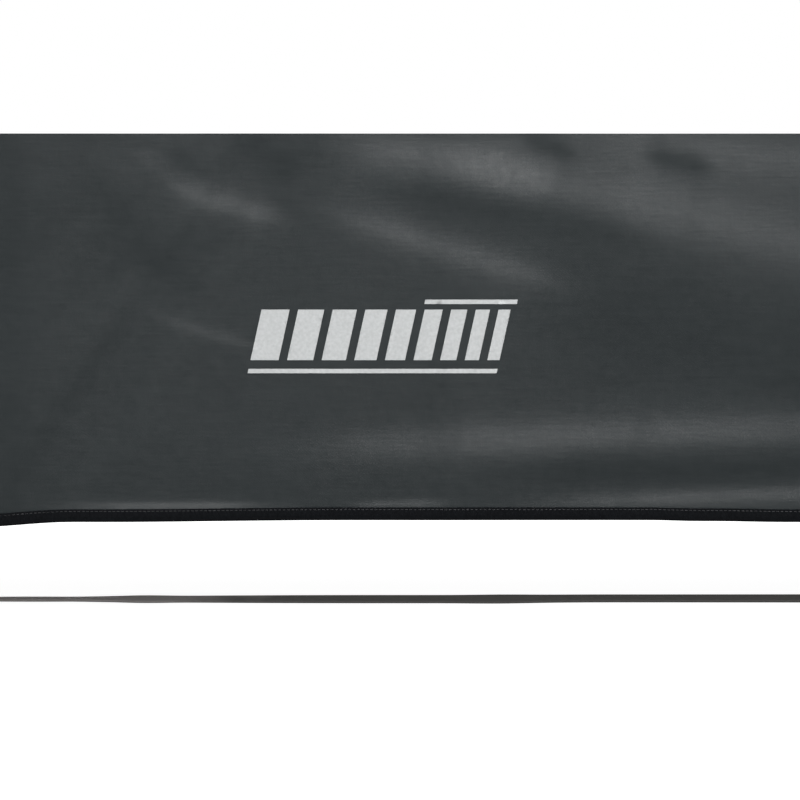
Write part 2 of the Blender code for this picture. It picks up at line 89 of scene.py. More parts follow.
STITCH = 0.0035  # pitch of the hem's lockstitch
HUB_R = 0.055
HUB_TOP = -0.016
HUB_BOTTOM = -0.044
SLOT_WIDTH = 0.0132
CAP_R = 0.050
ROD_R = 0.0055
FERRULE_R = 0.0075
TIP_R = 0.007
PIN_R = 0.003
PIN_LENGTH = 0.0256
STRAP_Z = 0.0105
FOOT_IN = 0.022
BOOT_R = 0.085

# Details that only the looks have
STRAP_TUCK = 0.015  # length of a strap's end inside the foot
HEM_TUCK = 0.017  # length of a hem tape's end under the boot's patch
HEM_THREAD_R = 0.00032
THREAD_R = 0.0003
ROW_PITCH = 0.006  # pitch of most of the other rows of stitches
PATCH_R = 0.088  # cloth patch under a hub cap
CLAMP_R = 0.048  # the cloth is held flat under a cap, this far out and this deep
CLAMP_DEPTH = 0.0085
ZIP_HOLD = 0.060  # the zip keeps the cloth straight, this far to each side
SEAM_WIDTH = 0.017
SEAM_ROW = 0.0058
TRIM_WIDTH = 0.014
PIPING = 0.0032
TOOTH_PITCH = 0.0028
ZIP_TAPE = 0.0115  # width of each half of the zip
MARK_LEFT = -0.122
MARK_LOW = 0.192
MARK_HIGH = 0.243
FINE_ZONE = (((-0.35, -0.795), (0.35, -0.4840)), 0.0032)
PANEL_STEP = 0.022  # spacing of a cloth panel's points
YARN_PITCH = 0.0011
TAPE_THICK = 0.0009

WALLS = {"front": 0, "right": 90, "back": 180, "left": 270}
SIDES = [*WALLS, "roof"]
# The signs of X and Y at the quarters of a side, and at the corners of the blind
QUARTERS = {
    f"{level}_{across}": (sx, sy)
    for sx, across in ((-1, "left"), (1, "right"))
    for sy, level in ((-1, "lower"), (1, "upper"))
}
CORNERS = {"front_left": (-1, -1), "front_right": (1, -1), "back_right": (1, 1), "back_left": (-1, 1)}
CLOTH = 0.0006  # thickness of the coated cloth
LEDGE = [(-0.0010, -CLOTH), (-0.0010, -0.0150), (-0.0022, -0.0150), (-0.0022, -CLOTH)]
SEAM = 0.0010  # a panel's edge stops this far short of its neighbour's plane
RIDGE = 0.010  # how softly the cloth bends over a pole, as a share of the side
SAG = 0.007  # how far a facet draws in between its poles
FAN = 0.0042  # height of the drag lines that fan out of the corners
RUMPLE = 0.0050  # height of the soft rumples in between
PLAIN = 0.94  # how much of both the front wall loses above its hem, where FOLDS takes over
HUB_ROUND = 0.05  # how far out of the clamp the cloth turns into its facets
# The camera stands well back with a long lens and looks slightly down at the hem
FRAME_WIDTH = 0.64
CAMERA_BACK = 20.0
CAMERA_Z = 0.400
AIM_Z = 0.1707


def hub_matrix(side):
    if side == "roof":
        return Matrix.Translation((0, 0, HIGH_Z + ROOF_RISE))
    turn = Matrix.Rotation(math.radians(WALLS[side]), 4, "Z")
    place = Matrix.Translation((0, -HALF - BULGE, HUB_Z))
    return turn @ place @ Matrix.Rotation(math.pi / 2, 4, "X")


HUB = {side: hub_matrix(side) for side in SIDES}
SHAPE = {side: (HALF, HALF_HEIGHT, BULGE) for side in WALLS}
SHAPE["roof"] = (HALF, HALF, ROOF_RISE)


# Materials


def set_inputs(tree, node, inputs):
    """Each input is a number, a colour or another node's output."""
    for socket, value in inputs.items():
        if isinstance(value, bpy.types.NodeSocket):
            tree.links.new(value, node.inputs[socket])
        else:
            node.inputs[socket].default_value = value


def add_node(tree, kind, inputs=(), **settings):
    node = tree.nodes.new("ShaderNode" + kind)
    for key, value in settings.items():
        setattr(node, key, value)
    set_inputs(tree, node, dict(inputs))
    return node


class Nodes:
    """A Principled material with a few helpers to wire its nodes."""

    def __init__(self, name, roughness, metallic=0.0, specular=0.5):
        self.mat = bpy.data.materials.new(name)
        self.mat.use_nodes = True
        self.tree = self.mat.node_tree
        self.tree.nodes.clear()
        numbers = {"Roughness": roughness, "Metallic": metallic, "Specular IOR Level": specular}
        self.shader = self.add("BsdfPrincipled", numbers)
        self.add("OutputMaterial", {0: self.shader.outputs[0]})
        self.place = self.add("TexCoord").outputs["Object"]
        self.x, self.y, self.z = self.add("SeparateXYZ", {0: self.place}).outputs

    def add(self, kind, inputs=(), **settings):
        return add_node(self.tree, kind, inputs, **settings)

    def math(self, operation, *values):
        return self.add("Math", enumerate(values), operation=operation).outputs[0]

    def noise(self, scale, detail=3.0, stretch=None):
        place = self.place
        if stretch:
            place = self.add("Mapping", {"Vector": place, "Scale": stretch}).outputs[0]
        return self.add("TexNoise", {"Vector": place, "Scale": scale, "Detail": detail}).outputs["Fac"]

    def wave(self, along, pitch):
        """A sine of one coordinate, from -1 to 1, with that pitch in metres."""
        return self.math("SINE", self.math("MULTIPLY", along, 2 * math.pi / pitch))

    def ramp(self, fac, low, high, start=0.3, end=0.7):
        node = self.add("ValToRGB", {0: fac})
        for stop, place, colour in zip(node.color_ramp.elements, (start, end), (low, high)):
            stop.position, stop.color = place, (*colour, 1.0)
        return node.outputs[0]

    def spread(self, fac, low, high):
        inputs = {"Value": fac, "From Min": 0.3, "From Max": 0.7, "To Min": low, "To Max": high}
        return self.add("MapRange", inputs).outputs[0]

    def bump(self, height, distance, strength=1.0, under=None):
        inputs = {"Height": height, "Distance": distance, "Strength": strength}
        if under is not None:
            inputs["Normal"] = under
        return self.add("Bump", inputs).outputs[0]

    def finish(self, colour, roughness=None, normal=None):
        for socket, value in (("Base Color", colour), ("Roughness", roughness), ("Normal", normal)):
            if value is not None:
                self.tree.links.new(value, self.shader.inputs[socket])
        return self.mat


def weave(n, across, up, pitch):
    """A plain weave: warp and weft take turns on top."""
    return n.math("MULTIPLY", n.wave(across, pitch), n.wave(up, pitch))


def cloth_material(name, flat, low, high, roughness=0.5):
    """Coated polyester. flat is True where the cloth faces up, as on the roof."""
    n = Nodes(name, roughness, specular=0.35)
    across = n.x if flat else n.math("ADD", n.x, n.y)
    up = n.y if flat else n.z
    yarn = (0.12, 1.0, 0.12) if flat else (0.12, 0.12, 1.0)
    fine = n.bump(weave(n, across, up, YARN_PITCH), 0.00006, 0.5)
    slub = n.bump(n.noise(420, 3, yarn), 0.00016, 0.5, fine)
    puckers = n.bump(n.noise(55, 4), 0.0012, 0.20, slub)
    streaks = n.math("ADD", n.math("MULTIPLY", n.noise(240, 3, yarn), 0.55),
                     n.math("MULTIPLY", n.noise(9, 5), 0.45))
    tone = n.ramp(streaks, low, high)
    gloss = n.spread(n.noise(140, 3), roughness - 0.05, roughness + 0.06)
    return n.finish(tone, gloss, puckers)


def tape_material(name, low, high, pitch, roughness=0.85, specular=0.3):
    """Ribbed grosgrain or webbing: ribs across its run, with a hairy roughness."""
    n = Nodes(name, roughness, specular=specular)
    ribs = n.wave(n.math("ADD", n.x, n.y), pitch)
    fine = n.bump(ribs, pitch * 0.12, 0.7)
    fuzz = n.bump(n.noise(1500, 2), 0.0002, 0.5, fine)
    tone = n.ramp(n.noise(400, 4), low, high)
    return n.finish(tone, None, fuzz)


def moulded_material(name, low, high, roughness=0.5, grain=900):
    n = Nodes(name, roughness)
    pebble = n.bump(n.noise(grain, 2), 0.0002, 0.35)
    tone = n.ramp(n.noise(30, 4), low, high)
    gloss = n.spread(n.noise(60, 4), roughness - 0.08, roughness + 0.08)
    return n.finish(tone, gloss, pebble)


def thread_material(name, colour):
    n = Nodes(name, 0.6)
    twist = n.bump(n.noise(2600, 2), 0.0002, 0.6)
    tone = n.ramp(n.noise(700, 2), [c * 0.8 for c in colour], colour)
    return n.finish(tone, None, twist)


def metal_material(name, low, high, roughness):
    n = Nodes(name, roughness, metallic=1.0)
    scuffs = n.bump(n.noise(500, 3), 0.0001, 0.3)
    tone = n.ramp(n.noise(120, 4), low, high)
    gloss = n.spread(n.noise(260, 3), roughness - 0.08, roughness + 0.12)
    return n.finish(tone, gloss, scuffs)


def webbing_material(name):
    """Warm grey webbing, ribbed across its run. Its colour holds painted light and shade: paler towards the
    -X end, darker along the rest, where the wall above shades the strap.
    """
    n = Nodes(name, 0.8, specular=0.25)
    run = n.math("ADD", n.x, n.y)
    ribs = n.wave(run, 0.0016)
    skew = n.wave(n.math("ADD", run, n.math("MULTIPLY", n.z, 0.6)), 0.0031)
    fine = n.bump(n.math("ADD", ribs, skew), 0.0002, 0.7)
    fuzz = n.bump(n.noise(1500, 2), 0.0002, 0.5, fine)
    # Painted shade: the colour darkens from the -X end along the strap, as the wall's shadow would, with a
    # noisy edge
    shade_run = n.math("ADD", n.math("MULTIPLY", n.x, -5.0), -0.75)
    painted_shade = n.spread(n.math("ADD", shade_run, n.noise(25, 3)), 0.0, 1.0)
    tone = n.ramp(painted_shade, (0.040, 0.0385, 0.0365), (0.094, 0.088, 0.0855), 0.0, 1.0)
    return n.finish(tone, None, fuzz)


def print_material(name, colour):
    """Screen-printed ink, slightly rubbed, that lets the weave through."""
    n = Nodes(name, 0.62, specular=0.3)
    yarns = n.bump(weave(n, n.math("ADD", n.x, n.y), n.z, YARN_PITCH), 0.00006, 0.5)
    tone = n.ramp(n.noise(420, 3), [c * 0.85 for c in colour], colour)
    return n.finish(tone, None, yarns)


# Mesh helpers


def new_object(name, mesh, mat=None):
    obj = bpy.data.objects.new(name, mesh)
    bpy.context.scene.collection.objects.link(obj)
    if mat:
        mesh.materials.append(mat)
    return obj


def smooth(obj, angle=40):
    obj.data.shade_smooth()
    if angle:
        obj.data.set_sharp_from_angle(angle=math.radians(angle))
    return obj


@contextmanager
def editing(mesh):
    """A mesh open in bmesh, written back at the end."""
    bm = bmesh.new()
    bm.from_mesh(mesh)
    yield bm
    bm.to_mesh(mesh)
    bm.free()


def thicken(obj, thickness, offset=-1.0):
    """Give a sheet its thickness, with a crisp cut edge."""
    with editing(obj.data) as bm:
        for edge in bm.edges:
            if edge.is_boundary:
                edge.smooth = False
    solid = obj.modifiers.new("thickness", "SOLIDIFY")
    solid.thickness = thickness
    solid.offset = offset
    return obj


def bevel(obj, width, angle=30):
    """Round off the edges that are sharper than an angle in degrees."""
    edges = obj.modifiers.new("edges", "BEVEL")
    edges.width = width
    edges.segments = 2
    edges.limit_method = "ANGLE"
    edges.angle_limit = math.radians(angle)


def baked(obj):
    """An object's mesh with its modifiers applied. The object itself goes."""
    bpy.context.view_layer.update()
    done = bpy.data.meshes.new_from_object(obj.evaluated_get(bpy.context.evaluated_depsgraph_get()))
    bpy.data.objects.remove(obj, do_unlink=True)
    return done


def inside(polygon, x, y):
    """Which of the points lie inside a polygon, by crossings."""
    found = np.zeros(len(x), bool)
    px, py = np.array(polygon, float).T
    qx, qy = np.roll(px, -1), np.roll(py, -1)
    for ax, ay, bx, by in zip(px, py, qx, qy):
        crosses = (ay > y) != (by > y)
        with np.errstate(divide="ignore", invalid="ignore"):
            at = (bx - ax) * (y - ay) / (by - ay) + ax
        found ^= crosses & (x < at)
    return found


def in_cut(outline, holes, spots):
    """Which points lie in a cut: inside its outline and outside its holes."""
    x, y = spots.T
    keep = inside(outline, x, y)
    for hole in holes:
        keep &= ~inside(hole, x, y)
    return keep


def along_outline(points, step):
    """The outline again, with points at most step apart."""
    made = []
    for a, b in zip(points, points[1:] + points[:1]):
        a, b = Vector(a), Vector(b)
        count = max(1, math.ceil((b - a).length / step))
        made += [tuple(a.lerp(b, i / count)) for i in range(count)]
    return made


def circle(radius, count=32, centre=(0, 0)):
    turn = [2 * math.pi * i / count for i in range(count)]
    return [(centre[0] + radius * math.cos(a), centre[1] + radius * math.sin(a)) for a in turn]


def lattice(low, high, step):
    """Staggered points over a rectangle."""
    xs = np.arange(low[0], high[0] + step, step)
    ys = np.arange(low[1], high[1] + step, step * 0.866)
    x, y = np.meshgrid(xs, ys)
    x = x + (np.arange(len(ys)) % 2)[:, None] * step / 2
    return np.stack([x.ravel(), y.ravel()], 1)


def panel_mesh(name, outline, holes, step, fine=None, height=None):
    """A flat cut with holes, triangulated evenly, then lifted by height(x, y).
    fine is ((low, high), step): a rectangle that gets closer points."""
    loops = [along_outline(outline, step)] + [along_outline(h, min(step, 0.012)) for h in holes]
    if fine:
        (low, high), small = fine
        loops = [along_outline(each, small) for each in [outline, *holes]]
    verts, edges = [], []
    for loop in loops:
        first = len(verts)
        verts += loop
        edges += [(first + i, first + (i + 1) % len(loop)) for i in range(len(loop))]
    border = np.array(verts)
    spots = lattice(border.min(0), border.max(0), step)
    if fine:
        outside = (spots < np.array(low)).any(1) | (spots > np.array(high)).any(1)
        spots = np.vstack([spots[outside], lattice(low, high, small)])
    verts += [tuple(p) for p in spots[in_cut(outline, holes, spots)]]
    made = geometry.delaunay_2d_cdt([Vector(v) for v in verts], edges, [], 0, 1e-6)
    points = np.array([tuple(v) for v in made[0]])
    faces = np.array([f for f in made[2] if len(f) == 3])
    faces = faces[in_cut(outline, holes, points[faces].mean(1))]
    used, faces = np.unique(faces, return_inverse=True)
    points = points[used]
    faces = faces.reshape(-1, 3)
    z = height(points[:, 0], points[:, 1]) if height else np.zeros(len(points))
    mesh = bpy.data.meshes.new(name)
    mesh.from_pydata(np.column_stack([points, z]).tolist(), [], faces.tolist())
    with editing(mesh) as bm:
        bmesh.ops.recalc_face_normals(bm, faces=bm.faces)
        if sum(f.normal.z * f.calc_area() for f in bm.faces) < 0:
            bmesh.ops.reverse_faces(bm, faces=bm.faces)
    return mesh


def flat_area(mesh):
    """Area of a mesh's triangles, in square metres."""
    return sum(p.area for p in mesh.polygons)


# The cloth's shape


def step_up(t):
    t = np.clip(t, 0, 1)
    return t * t * (3 - 2 * t)


def fractal(x, y, seed, scale, octaves=3):
    """Soft noise at points, about -1 to 1."""
    made = np.empty(len(x))
    for i, (a, b) in enumerate(zip(x, y)):
        made[i] = noise.fractal(Vector((a * scale, b * scale, seed)), 1.0, 2.0, octaves)
    return made


# Soft drag folds on the front wall's lower facet: start and end (metres from mid-wall, and up
# from the ground), half-width, and how steeply the cloth leans there, up (+) or down (-).
FOLDS = [
    ((-0.192, 0.342), (-0.082, 0.313), 0.0110, 0.165),
    ((-0.215, 0.374), (-0.165, 0.334), 0.0070, 0.060),
    ((-0.190, 0.376), (-0.146, 0.344), 0.0050, -0.070),
    ((-0.135, 0.386), (-0.078, 0.348), 0.0120, -0.120),
    ((-0.090, 0.390), (0.150, 0.341), 0.0180, 0.105),
    ((-0.080, 0.374), (0.150, 0.332), 0.0160, 0.035),
    ((-0.020, 0.380), (0.470, 0.258), 0.0280, 0.155),
    ((0.080, 0.392), (0.470, 0.345), 0.0220, 0.120),
    ((-0.040, 0.346), (0.220, 0.294), 0.0150, -0.130),
    ((-0.075, 0.327), (0.165, 0.252), 0.0135, 0.160),
    ((0.190, 0.369), (0.256, 0.353), 0.0075, -0.190),
    ((0.095, 0.384), (0.145, 0.364), 0.0070, -0.130),
    ((0.080, 0.265), (0.470, 0.156), 0.0480, -0.110),
    ((-0.160, 0.126), (0.060, 0.132), 0.0170, 0.060),
    ((-0.100, 0.131), (0.480, 0.156), 0.0175, 0.185),
    ((0.050, 0.112), (0.470, 0.118), 0.0120, -0.150),
    ((0.060, 0.086), (0.500, 0.103), 0.0080, 0.215),
    ((-0.300, 0.0850), (-0.070, 0.0856), 0.0030, 0.330),
    ((-0.050, 0.0860), (0.050, 0.0880), 0.0030, 0.260),
    ((-0.215, 0.243), (-0.100, 0.209), 0.0055, 0.100),
    ((-0.256, 0.362), (-0.180, 0.254), 0.0150, -0.090),
    ((-0.210, 0.290), (-0.140, 0.246), 0.0090, -0.050),
    ((-0.313, 0.440), (-0.313, 0.000), 0.0170, -0.160),
]


def fold_height(x, z):
    """The folds' shared height at points of the front wall, x along it and z above ground."""
    total = np.zeros(len(x))
    for start, end, width, lean in FOLDS:
        (ax, az), (bx, bz) = start, end
        length = math.hypot(bx - ax, bz - az)
        ux, uz = (bx - ax) / length, (bz - az) / length
        along = (x - ax) * ux + (z - az) * uz
        across = (z - az) * ux - (x - ax) * uz
        at = along / length
        fade = step_up((at + 0.05) / 0.38) * step_up((1.05 - at) / 0.38)
        span = width * (0.5 + 0.5 * fade)
        total -= lean * span * np.tanh(across / span) * fade
    return total


def cloth_height(side, x, y):
    """Outward height of a side's cloth in its hub frame."""
    half_x, half_y, rise = SHAPE[side]
    a, b = np.abs(x) / half_x, np.abs(y) / half_y
    t = 0.5 * (a + b + np.sqrt((a - b) ** 2 + RIDGE**2)) - RIDGE / 2 * np.maximum(a, b)
    low, high = np.minimum(a, b), np.maximum(np.maximum(a, b), 1e-6)
    across = 1 - (low / high) ** 2
    bay = np.clip(4 * high * (1 - high), 0, 1)
    seed = SIDES.index(side) * 7.3
    z = -rise * t - SAG * across * bay
    clamped = step_up((CLAMP_R + HUB_ROUND - np.hypot(x, y)) / HUB_ROUND)
    z = z + clamped * (-CLAMP_DEPTH - z)
    # Drag lines that fan out of the corners and fade up the wall
    fan = np.zeros(len(x))
    for sx, sy in QUARTERS.values():
        dx, dy = sx * half_x - x, sy * half_y - y
        reach = np.hypot(dx, dy)
        angle = np.arctan2(np.abs(dy), np.abs(dx))
        wavy = np.sin(angle * 19 + seed + sx + 2 * sy + 2.0 * fractal(x, y, seed + 3, 2.0, 1))
        fan += wavy * np.exp(-reach / 0.30) * step_up(reach / 0.12)
    rumple = fractal(x, y, seed, 3.2)
    edge = step_up((1 - high) / 0.10)
    ease = np.ones(len(x))
    if side == "front":
        world_z = y + HUB_Z
        seen = step_up((0.42 - np.abs(x)) / 0.10) * step_up((0.46 - world_z) / 0.08)
        z = z + fold_height(x, world_z) * seen
        ease = 1 - PLAIN * seen
    hem = step_up((1.02 - high) / 0.05)
    z = z + ease * (FAN * fan * edge * across + RUMPLE * rumple * edge * (0.3 + 0.7 * across) * hem)
    if side == "back":
        nose, foot, top = DOORWAY
        gap = np.minimum(line_distance(x, y, nose, foot), line_distance(x, y, nose, top))
        z = z + step_up((ZIP_HOLD - gap) / (0.75 * ZIP_HOLD)) * (-rise * a - 0.0015 - z)
    return z


def line_distance(x, y, start, end):
    """How far points are from a straight line between two points."""
    (ax, ay), (bx, by) = start, end
    t = ((x - ax) * (bx - ax) + (y - ay) * (by - ay)) / ((bx - ax) ** 2 + (by - ay) ** 2)
    t = np.clip(t, 0, 1)
    return np.hypot(x - ax - t * (bx - ax), y - ay - t * (by - ay))


def pole_line(height):
    return HALF * abs(height - HUB_Z) / HALF_HEIGHT


def window_outline(low, high, grow=0.0):
    low_half = pole_line(low) - INSET + grow
    high_half = pole_line(high) - INSET + grow
    y0, y1 = low - HUB_Z, high - HUB_Z
    return [(-low_half, y0), (low_half, y0), (high_half, y1), (-high_half, y1)]


def levels_of(side):
    """The sill and the head of each of a wall's windows."""
    levels = {"high": (HIGH_SILL, HIGH_HEAD)}
    if side in LOW_SILL:
        levels["low"] = (LOW_SILL[side], LOW_HEAD)
    return levels


def hem_height(x):
    return HEM_Z + (HEM_END_Z - HEM_Z) * step_up((abs(x) - HEM_FLAT) / (BINDING_END - HEM_FLAT))


def hem_dip(side, x):
    """The front hem sinks a little towards the left, less towards the right."""
    if side != "front":
        return 0.0
    left = 0.0016 * step_up((-x - 0.04) / 0.20) + 0.0046 * step_up((-x - 0.262) / 0.085)
    right = 0.0008 * step_up((x - 0.20) / 0.04) + 0.0008 * step_up((x - 0.25) / 0.06)
    return -left - right


def hem_line(side, x):
    """World height of the lower edge of a side's hem binding."""
    calm = min(max((HEM_FLAT - abs(x)) / 0.2, 0.0), 1.0)
    return hem_height(x) + hem_dip(side, x) * calm


def hem_path(side, up=0.0, step=0.01, end=BINDING_END):
    """Points along a side's hem, in its hub frame."""
    count = round(2 * end / step)
    xs = [-end + 2 * end * i / count for i in range(count + 1)]
    return [(x, hem_line(side, x) + up - HUB_Z) for x in xs]


def wall_outline(side):
    """A wall's cut: the hem with its bends, then up to the corners and across the top."""
    edge, top = HALF - SEAM, HALF_HEIGHT - SEAM
    hem = hem_path(side, 0.0015, 2 * BINDING_END / 96)
    low = hem[-1][1]
    return hem + [(edge, low), (edge, top), (-edge, top), (-edge, low)]


DOORWAY = [
    (DOOR_NOSE_X, 0.0),
    (DOOR_HINGE_X, DOOR_FOOT - HUB_Z),
    (DOOR_HINGE_X, DOOR_TOP - HUB_Z),
]


def squash_with_hub(obj):
    """Gives the piece its own copy of its mesh."""
    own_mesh(obj)


def piece(name, mesh, mat, body="root", angle=40):
    """An object from a mesh drawn in the world, riding on a body."""
    obj = smooth(new_object(name, mesh, mat), angle)
    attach(obj, body)
    return obj


def on_side(name, mesh, side, mat, body="root", pops=True, angle=40):
    """A piece from a mesh drawn in a side's hub frame. If it pops, it gets its own copy of its mesh."""
    mesh.transform(HUB[side])
    obj = piece(name, mesh, mat, body, angle)
    if pops:
        squash_with_hub(obj)
    return obj


def laid(name, outline, holes, step, side, surface, mat, thickness, body="root", fine=None):
    """A flat cut laid on a side and thickened. Gives the piece and its area."""
    mesh = panel_mesh(name, outline, holes, step, fine, surface)
    area = flat_area(mesh)
    obj = on_side(name, mesh, side, mat, body, angle=None)
    return thicken(obj, thickness), area


# Tapes, seams and stitches


class Heap:
    """Vertices and faces gathered for one mesh."""

    def __init__(self):
        self.verts = []
        self.faces = []
        self.count = 0

    def add(self, verts, faces):
        self.verts.append(np.asarray(verts, float).reshape(-1, 3))
        self.faces += [tuple(i + self.count for i in face) for face in faces]
        self.count += len(self.verts[-1])

    def add_tube(self, rings):
        """Quads between rings of points, and a cap on each end."""
        around, last = len(rings[0]), (len(rings) - 1) * len(rings[0])
        faces = []
        for a in range(0, last, around):
            for k in range(around):
                m = (k + 1) % around
                faces.append((a + k, a + m, a + around + m, a + around + k))
        self.add(rings, faces + [tuple(range(around)), tuple(last + k for k in range(around))])

    def add_mesh(self, mesh):
        self.add([v.co[:] for v in mesh.vertices], [tuple(p.vertices) for p in mesh.polygons])

    def mesh(self, name):
        mesh = bpy.data.meshes.new(name)
        mesh.from_pydata(np.vstack(self.verts).tolist(), [], self.faces)
        with editing(mesh) as bm:
            bmesh.ops.recalc_face_normals(bm, faces=bm.faces)
        return mesh


def resample(path, step):
    """Evenly spaced points along a path in X and Y."""
    points = np.array(path, float)
    run = np.concatenate([[0], np.cumsum(np.hypot(*np.diff(points, axis=0).T))])
    spots = np.linspace(0, run[-1], max(2, round(run[-1] / step) + 1))
    return np.column_stack([np.interp(spots, run, points[:, 0]), np.interp(spots, run, points[:, 1])])


def tape_section(width, thick, lift=0.0):
    """A tape's cross-section: sideways and outward offsets, with soft edges."""
    half = width / 2
    soft = min(0.0004, half / 3)
    top = [(-half, thick * 0.4), (-half + soft, thick), (0, thick * 1.1), (half - soft, thick)]
    section = top + [(half, thick * 0.4), (half, 0.0), (0, 0.0), (-half, 0.0)]
    return [(s, o + lift) for s, o in section]


def sweep(heap, path, section, height, step=0.012):
    """A cross-section of (left, out) offsets carried along a path that lies on height(x, y)."""
    points = resample(path, step)
    ahead = np.gradient(points, axis=0)
    ahead /= np.linalg.norm(ahead, axis=1)[:, None]
    left = np.column_stack([-ahead[:, 1], ahead[:, 0]])
    aside, out = np.array(section, float).T
    places = points[:, None, :] + left[:, None, :] * aside[None, :, None]
    flat = places.reshape(-1, 2)
    z = height(flat[:, 0], flat[:, 1]) + np.tile(out, len(points))
    heap.add_tube(np.column_stack([flat, z]).reshape(len(points), len(section), 3))


def sew(heap, path, height, out, pitch=ROW_PITCH, thread=THREAD_R):
    """A row of stitches, each a small spindle, along a path that lies on height(x, y)."""
    points = resample(path, pitch)
    z = height(points[:, 0], points[:, 1]) + out
    centre = np.column_stack([points, z])
    ahead = np.gradient(centre, axis=0)
    ahead /= np.linalg.norm(ahead, axis=1)[:, None]
    side = np.cross((0, 0, 1), ahead)
    side /= np.linalg.norm(side, axis=1)[:, None]
    up = np.cross(ahead, side)
    half = pitch * 0.39
    rings = []
    for end in (-0.72, 0.72):
        for turn in range(4):
            angle = math.pi / 2 * turn + math.pi / 4
            across = side * (math.cos(angle) * thread) + up * (math.sin(angle) * thread)
            rings.append(centre + ahead * (end * half) + across)
    tips = [centre - ahead * half, centre + ahead * half]
    verts = np.stack(rings + tips, 1)
    faces = []
    for n in range(len(points)):
        first = n * 10
        for k in range(4):
            m = (k + 1) % 4
            faces.append((first + k, first + m, first + 4 + m, first + 4 + k))
            faces.append((first + m, first + k, first + 8))
            faces.append((first + 4 + k, first + 4 + m, first + 9))
    heap.add(verts.reshape(-1, 3), faces)


def wall_surface(side):
    return lambda x, y: cloth_height(side, x, y)


def arc(centre, radius, start, end, count=16):
    turn = np.radians(np.linspace(start, end, count + 1))
    return [(centre[0] + radius * math.cos(a), centre[1] + radius * math.sin(a)) for a in turn]


def edges_of(outline):
    return list(zip(outline, outline[1:] + outline[:1]))


def beside(a, b, left, longer=0.0):
    """The line from a to b, moved to its left and made longer at both ends."""
    a, b = Vector(a), Vector(b)
    ahead = (b - a).normalized()
    shift = Vector((-ahead.y, ahead.x)) * left
    return a + shift - ahead * longer, b + shift + ahead * longer


def sewn_tape(name, tape, thread, side, mats, body="root"):
    """The pieces of a tape and of its stitches, if it has any."""
    on_side(f"{name}_tape", tape.mesh("tape"), side, mats["binding"], body)
    if thread.count:
        on_side(f"{name}_stitches", thread.mesh("thread"), side, mats["thread"], body)


# Fabric


def make_walls(mats):
    for side in SIDES:
        half_x, half_y, rise = SHAPE[side]
        holes = [circle(HUB_HOLE_R, 24)]
        if side == "roof":
            name, node, mat = "roof_cloth", "roof_fabric", mats["roof"]
            ex, ey = half_x - SEAM, half_y - SEAM
            outline = [(-ex, -ey), (ex, -ey), (ex, ey), (-ex, ey)]
        else:
            name, node, mat = f"{side}_wall_cloth", f"{side}_wall", mats["wall"]
            outline = wall_outline(side)
            holes += [window_outline(*level) for level in levels_of(side).values()]
        if side == "back":
            holes.append(DOORWAY)
        fine = FINE_ZONE if side == "front" else None
        obj, area = laid(name, outline, holes, PANEL_STEP, side, wall_surface(side), mat,
                         CLOTH, fine=fine)
        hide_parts(node)


def make_seams(mats):
    """Felled seams over the four poles of each side, with two rows of stitches, and the hub patch."""
    section = tape_section(SEAM_WIDTH, 0.0007)
    for side in SIDES:
        half_x, half_y, _ = SHAPE[side]
        surface = wall_surface(side)
        tape, thread = Heap(), Heap()
        for sx, sy in QUARTERS.values():
            corner = Vector((sx * half_x, sy * half_y))
            ahead = corner.normalized()
            start, end = ahead * (PATCH_R - 0.012), corner - ahead * (BOOT_R - 0.010)
            sweep(tape, [start, end], section, surface, 0.02)
            for aside in (-SEAM_ROW, SEAM_ROW):
                sew(thread, beside(start, end, aside), surface, 0.0009, 0.007)
        on_side(f"{side}_pole_seams", tape.mesh("seams"), side, mats["seam"])
        laid(f"{side}_hub_patch", circle(PATCH_R, 48), [circle(HUB_HOLE_R, 24)], 0.012, side,
             lambda x, y: surface(x, y) + 0.0017, mats["patch"], 0.0012)
        for radius in (PATCH_R - 0.004, PATCH_R - 0.0085):
            sew(thread, arc((0, 0), radius, 0, 360, 90), surface, 0.0019, 0.005)
        on_side(f"{side}_seam_stitches", thread.mesh("stitches"), side, mats["thread"])


def make_windows(mats):
    """Tape round each window. It's inside the cloth round the front low window, else outside."""
    for side in WALLS:
        surface = wall_surface(side)
        for level, (sill, head) in levels_of(side).items():
            outline = window_outline(sill, head)
            hidden = side == "front" and level == "low"
            tape, thread = Heap(), Heap()
            if level == "low":
                # The cover is sewn to this narrow ledge inside the sill
                sweep(tape, outline[:2], LEDGE, surface)
            middle = (-0.0016 if hidden else 0.0008) - TRIM_WIDTH / 2
            for n, (a, b) in enumerate(edges_of(outline)):
                stack = n % 2 * 0.0005
                out = -CLOTH - 0.0016 - stack if hidden else 0.0002 + stack
                section = tape_section(TRIM_WIDTH, TAPE_THICK, out)
                sweep(tape, beside(a, b, middle, TRIM_WIDTH), section, surface)
                if not hidden:
                    for row in (-0.32 * TRIM_WIDTH, 0.32 * TRIM_WIDTH):
                        sew(thread, beside(a, b, middle + row, TRIM_WIDTH), surface, out + 0.0011)
            sewn_tape(f"{side}_{level}_window", tape, thread, side, mats)


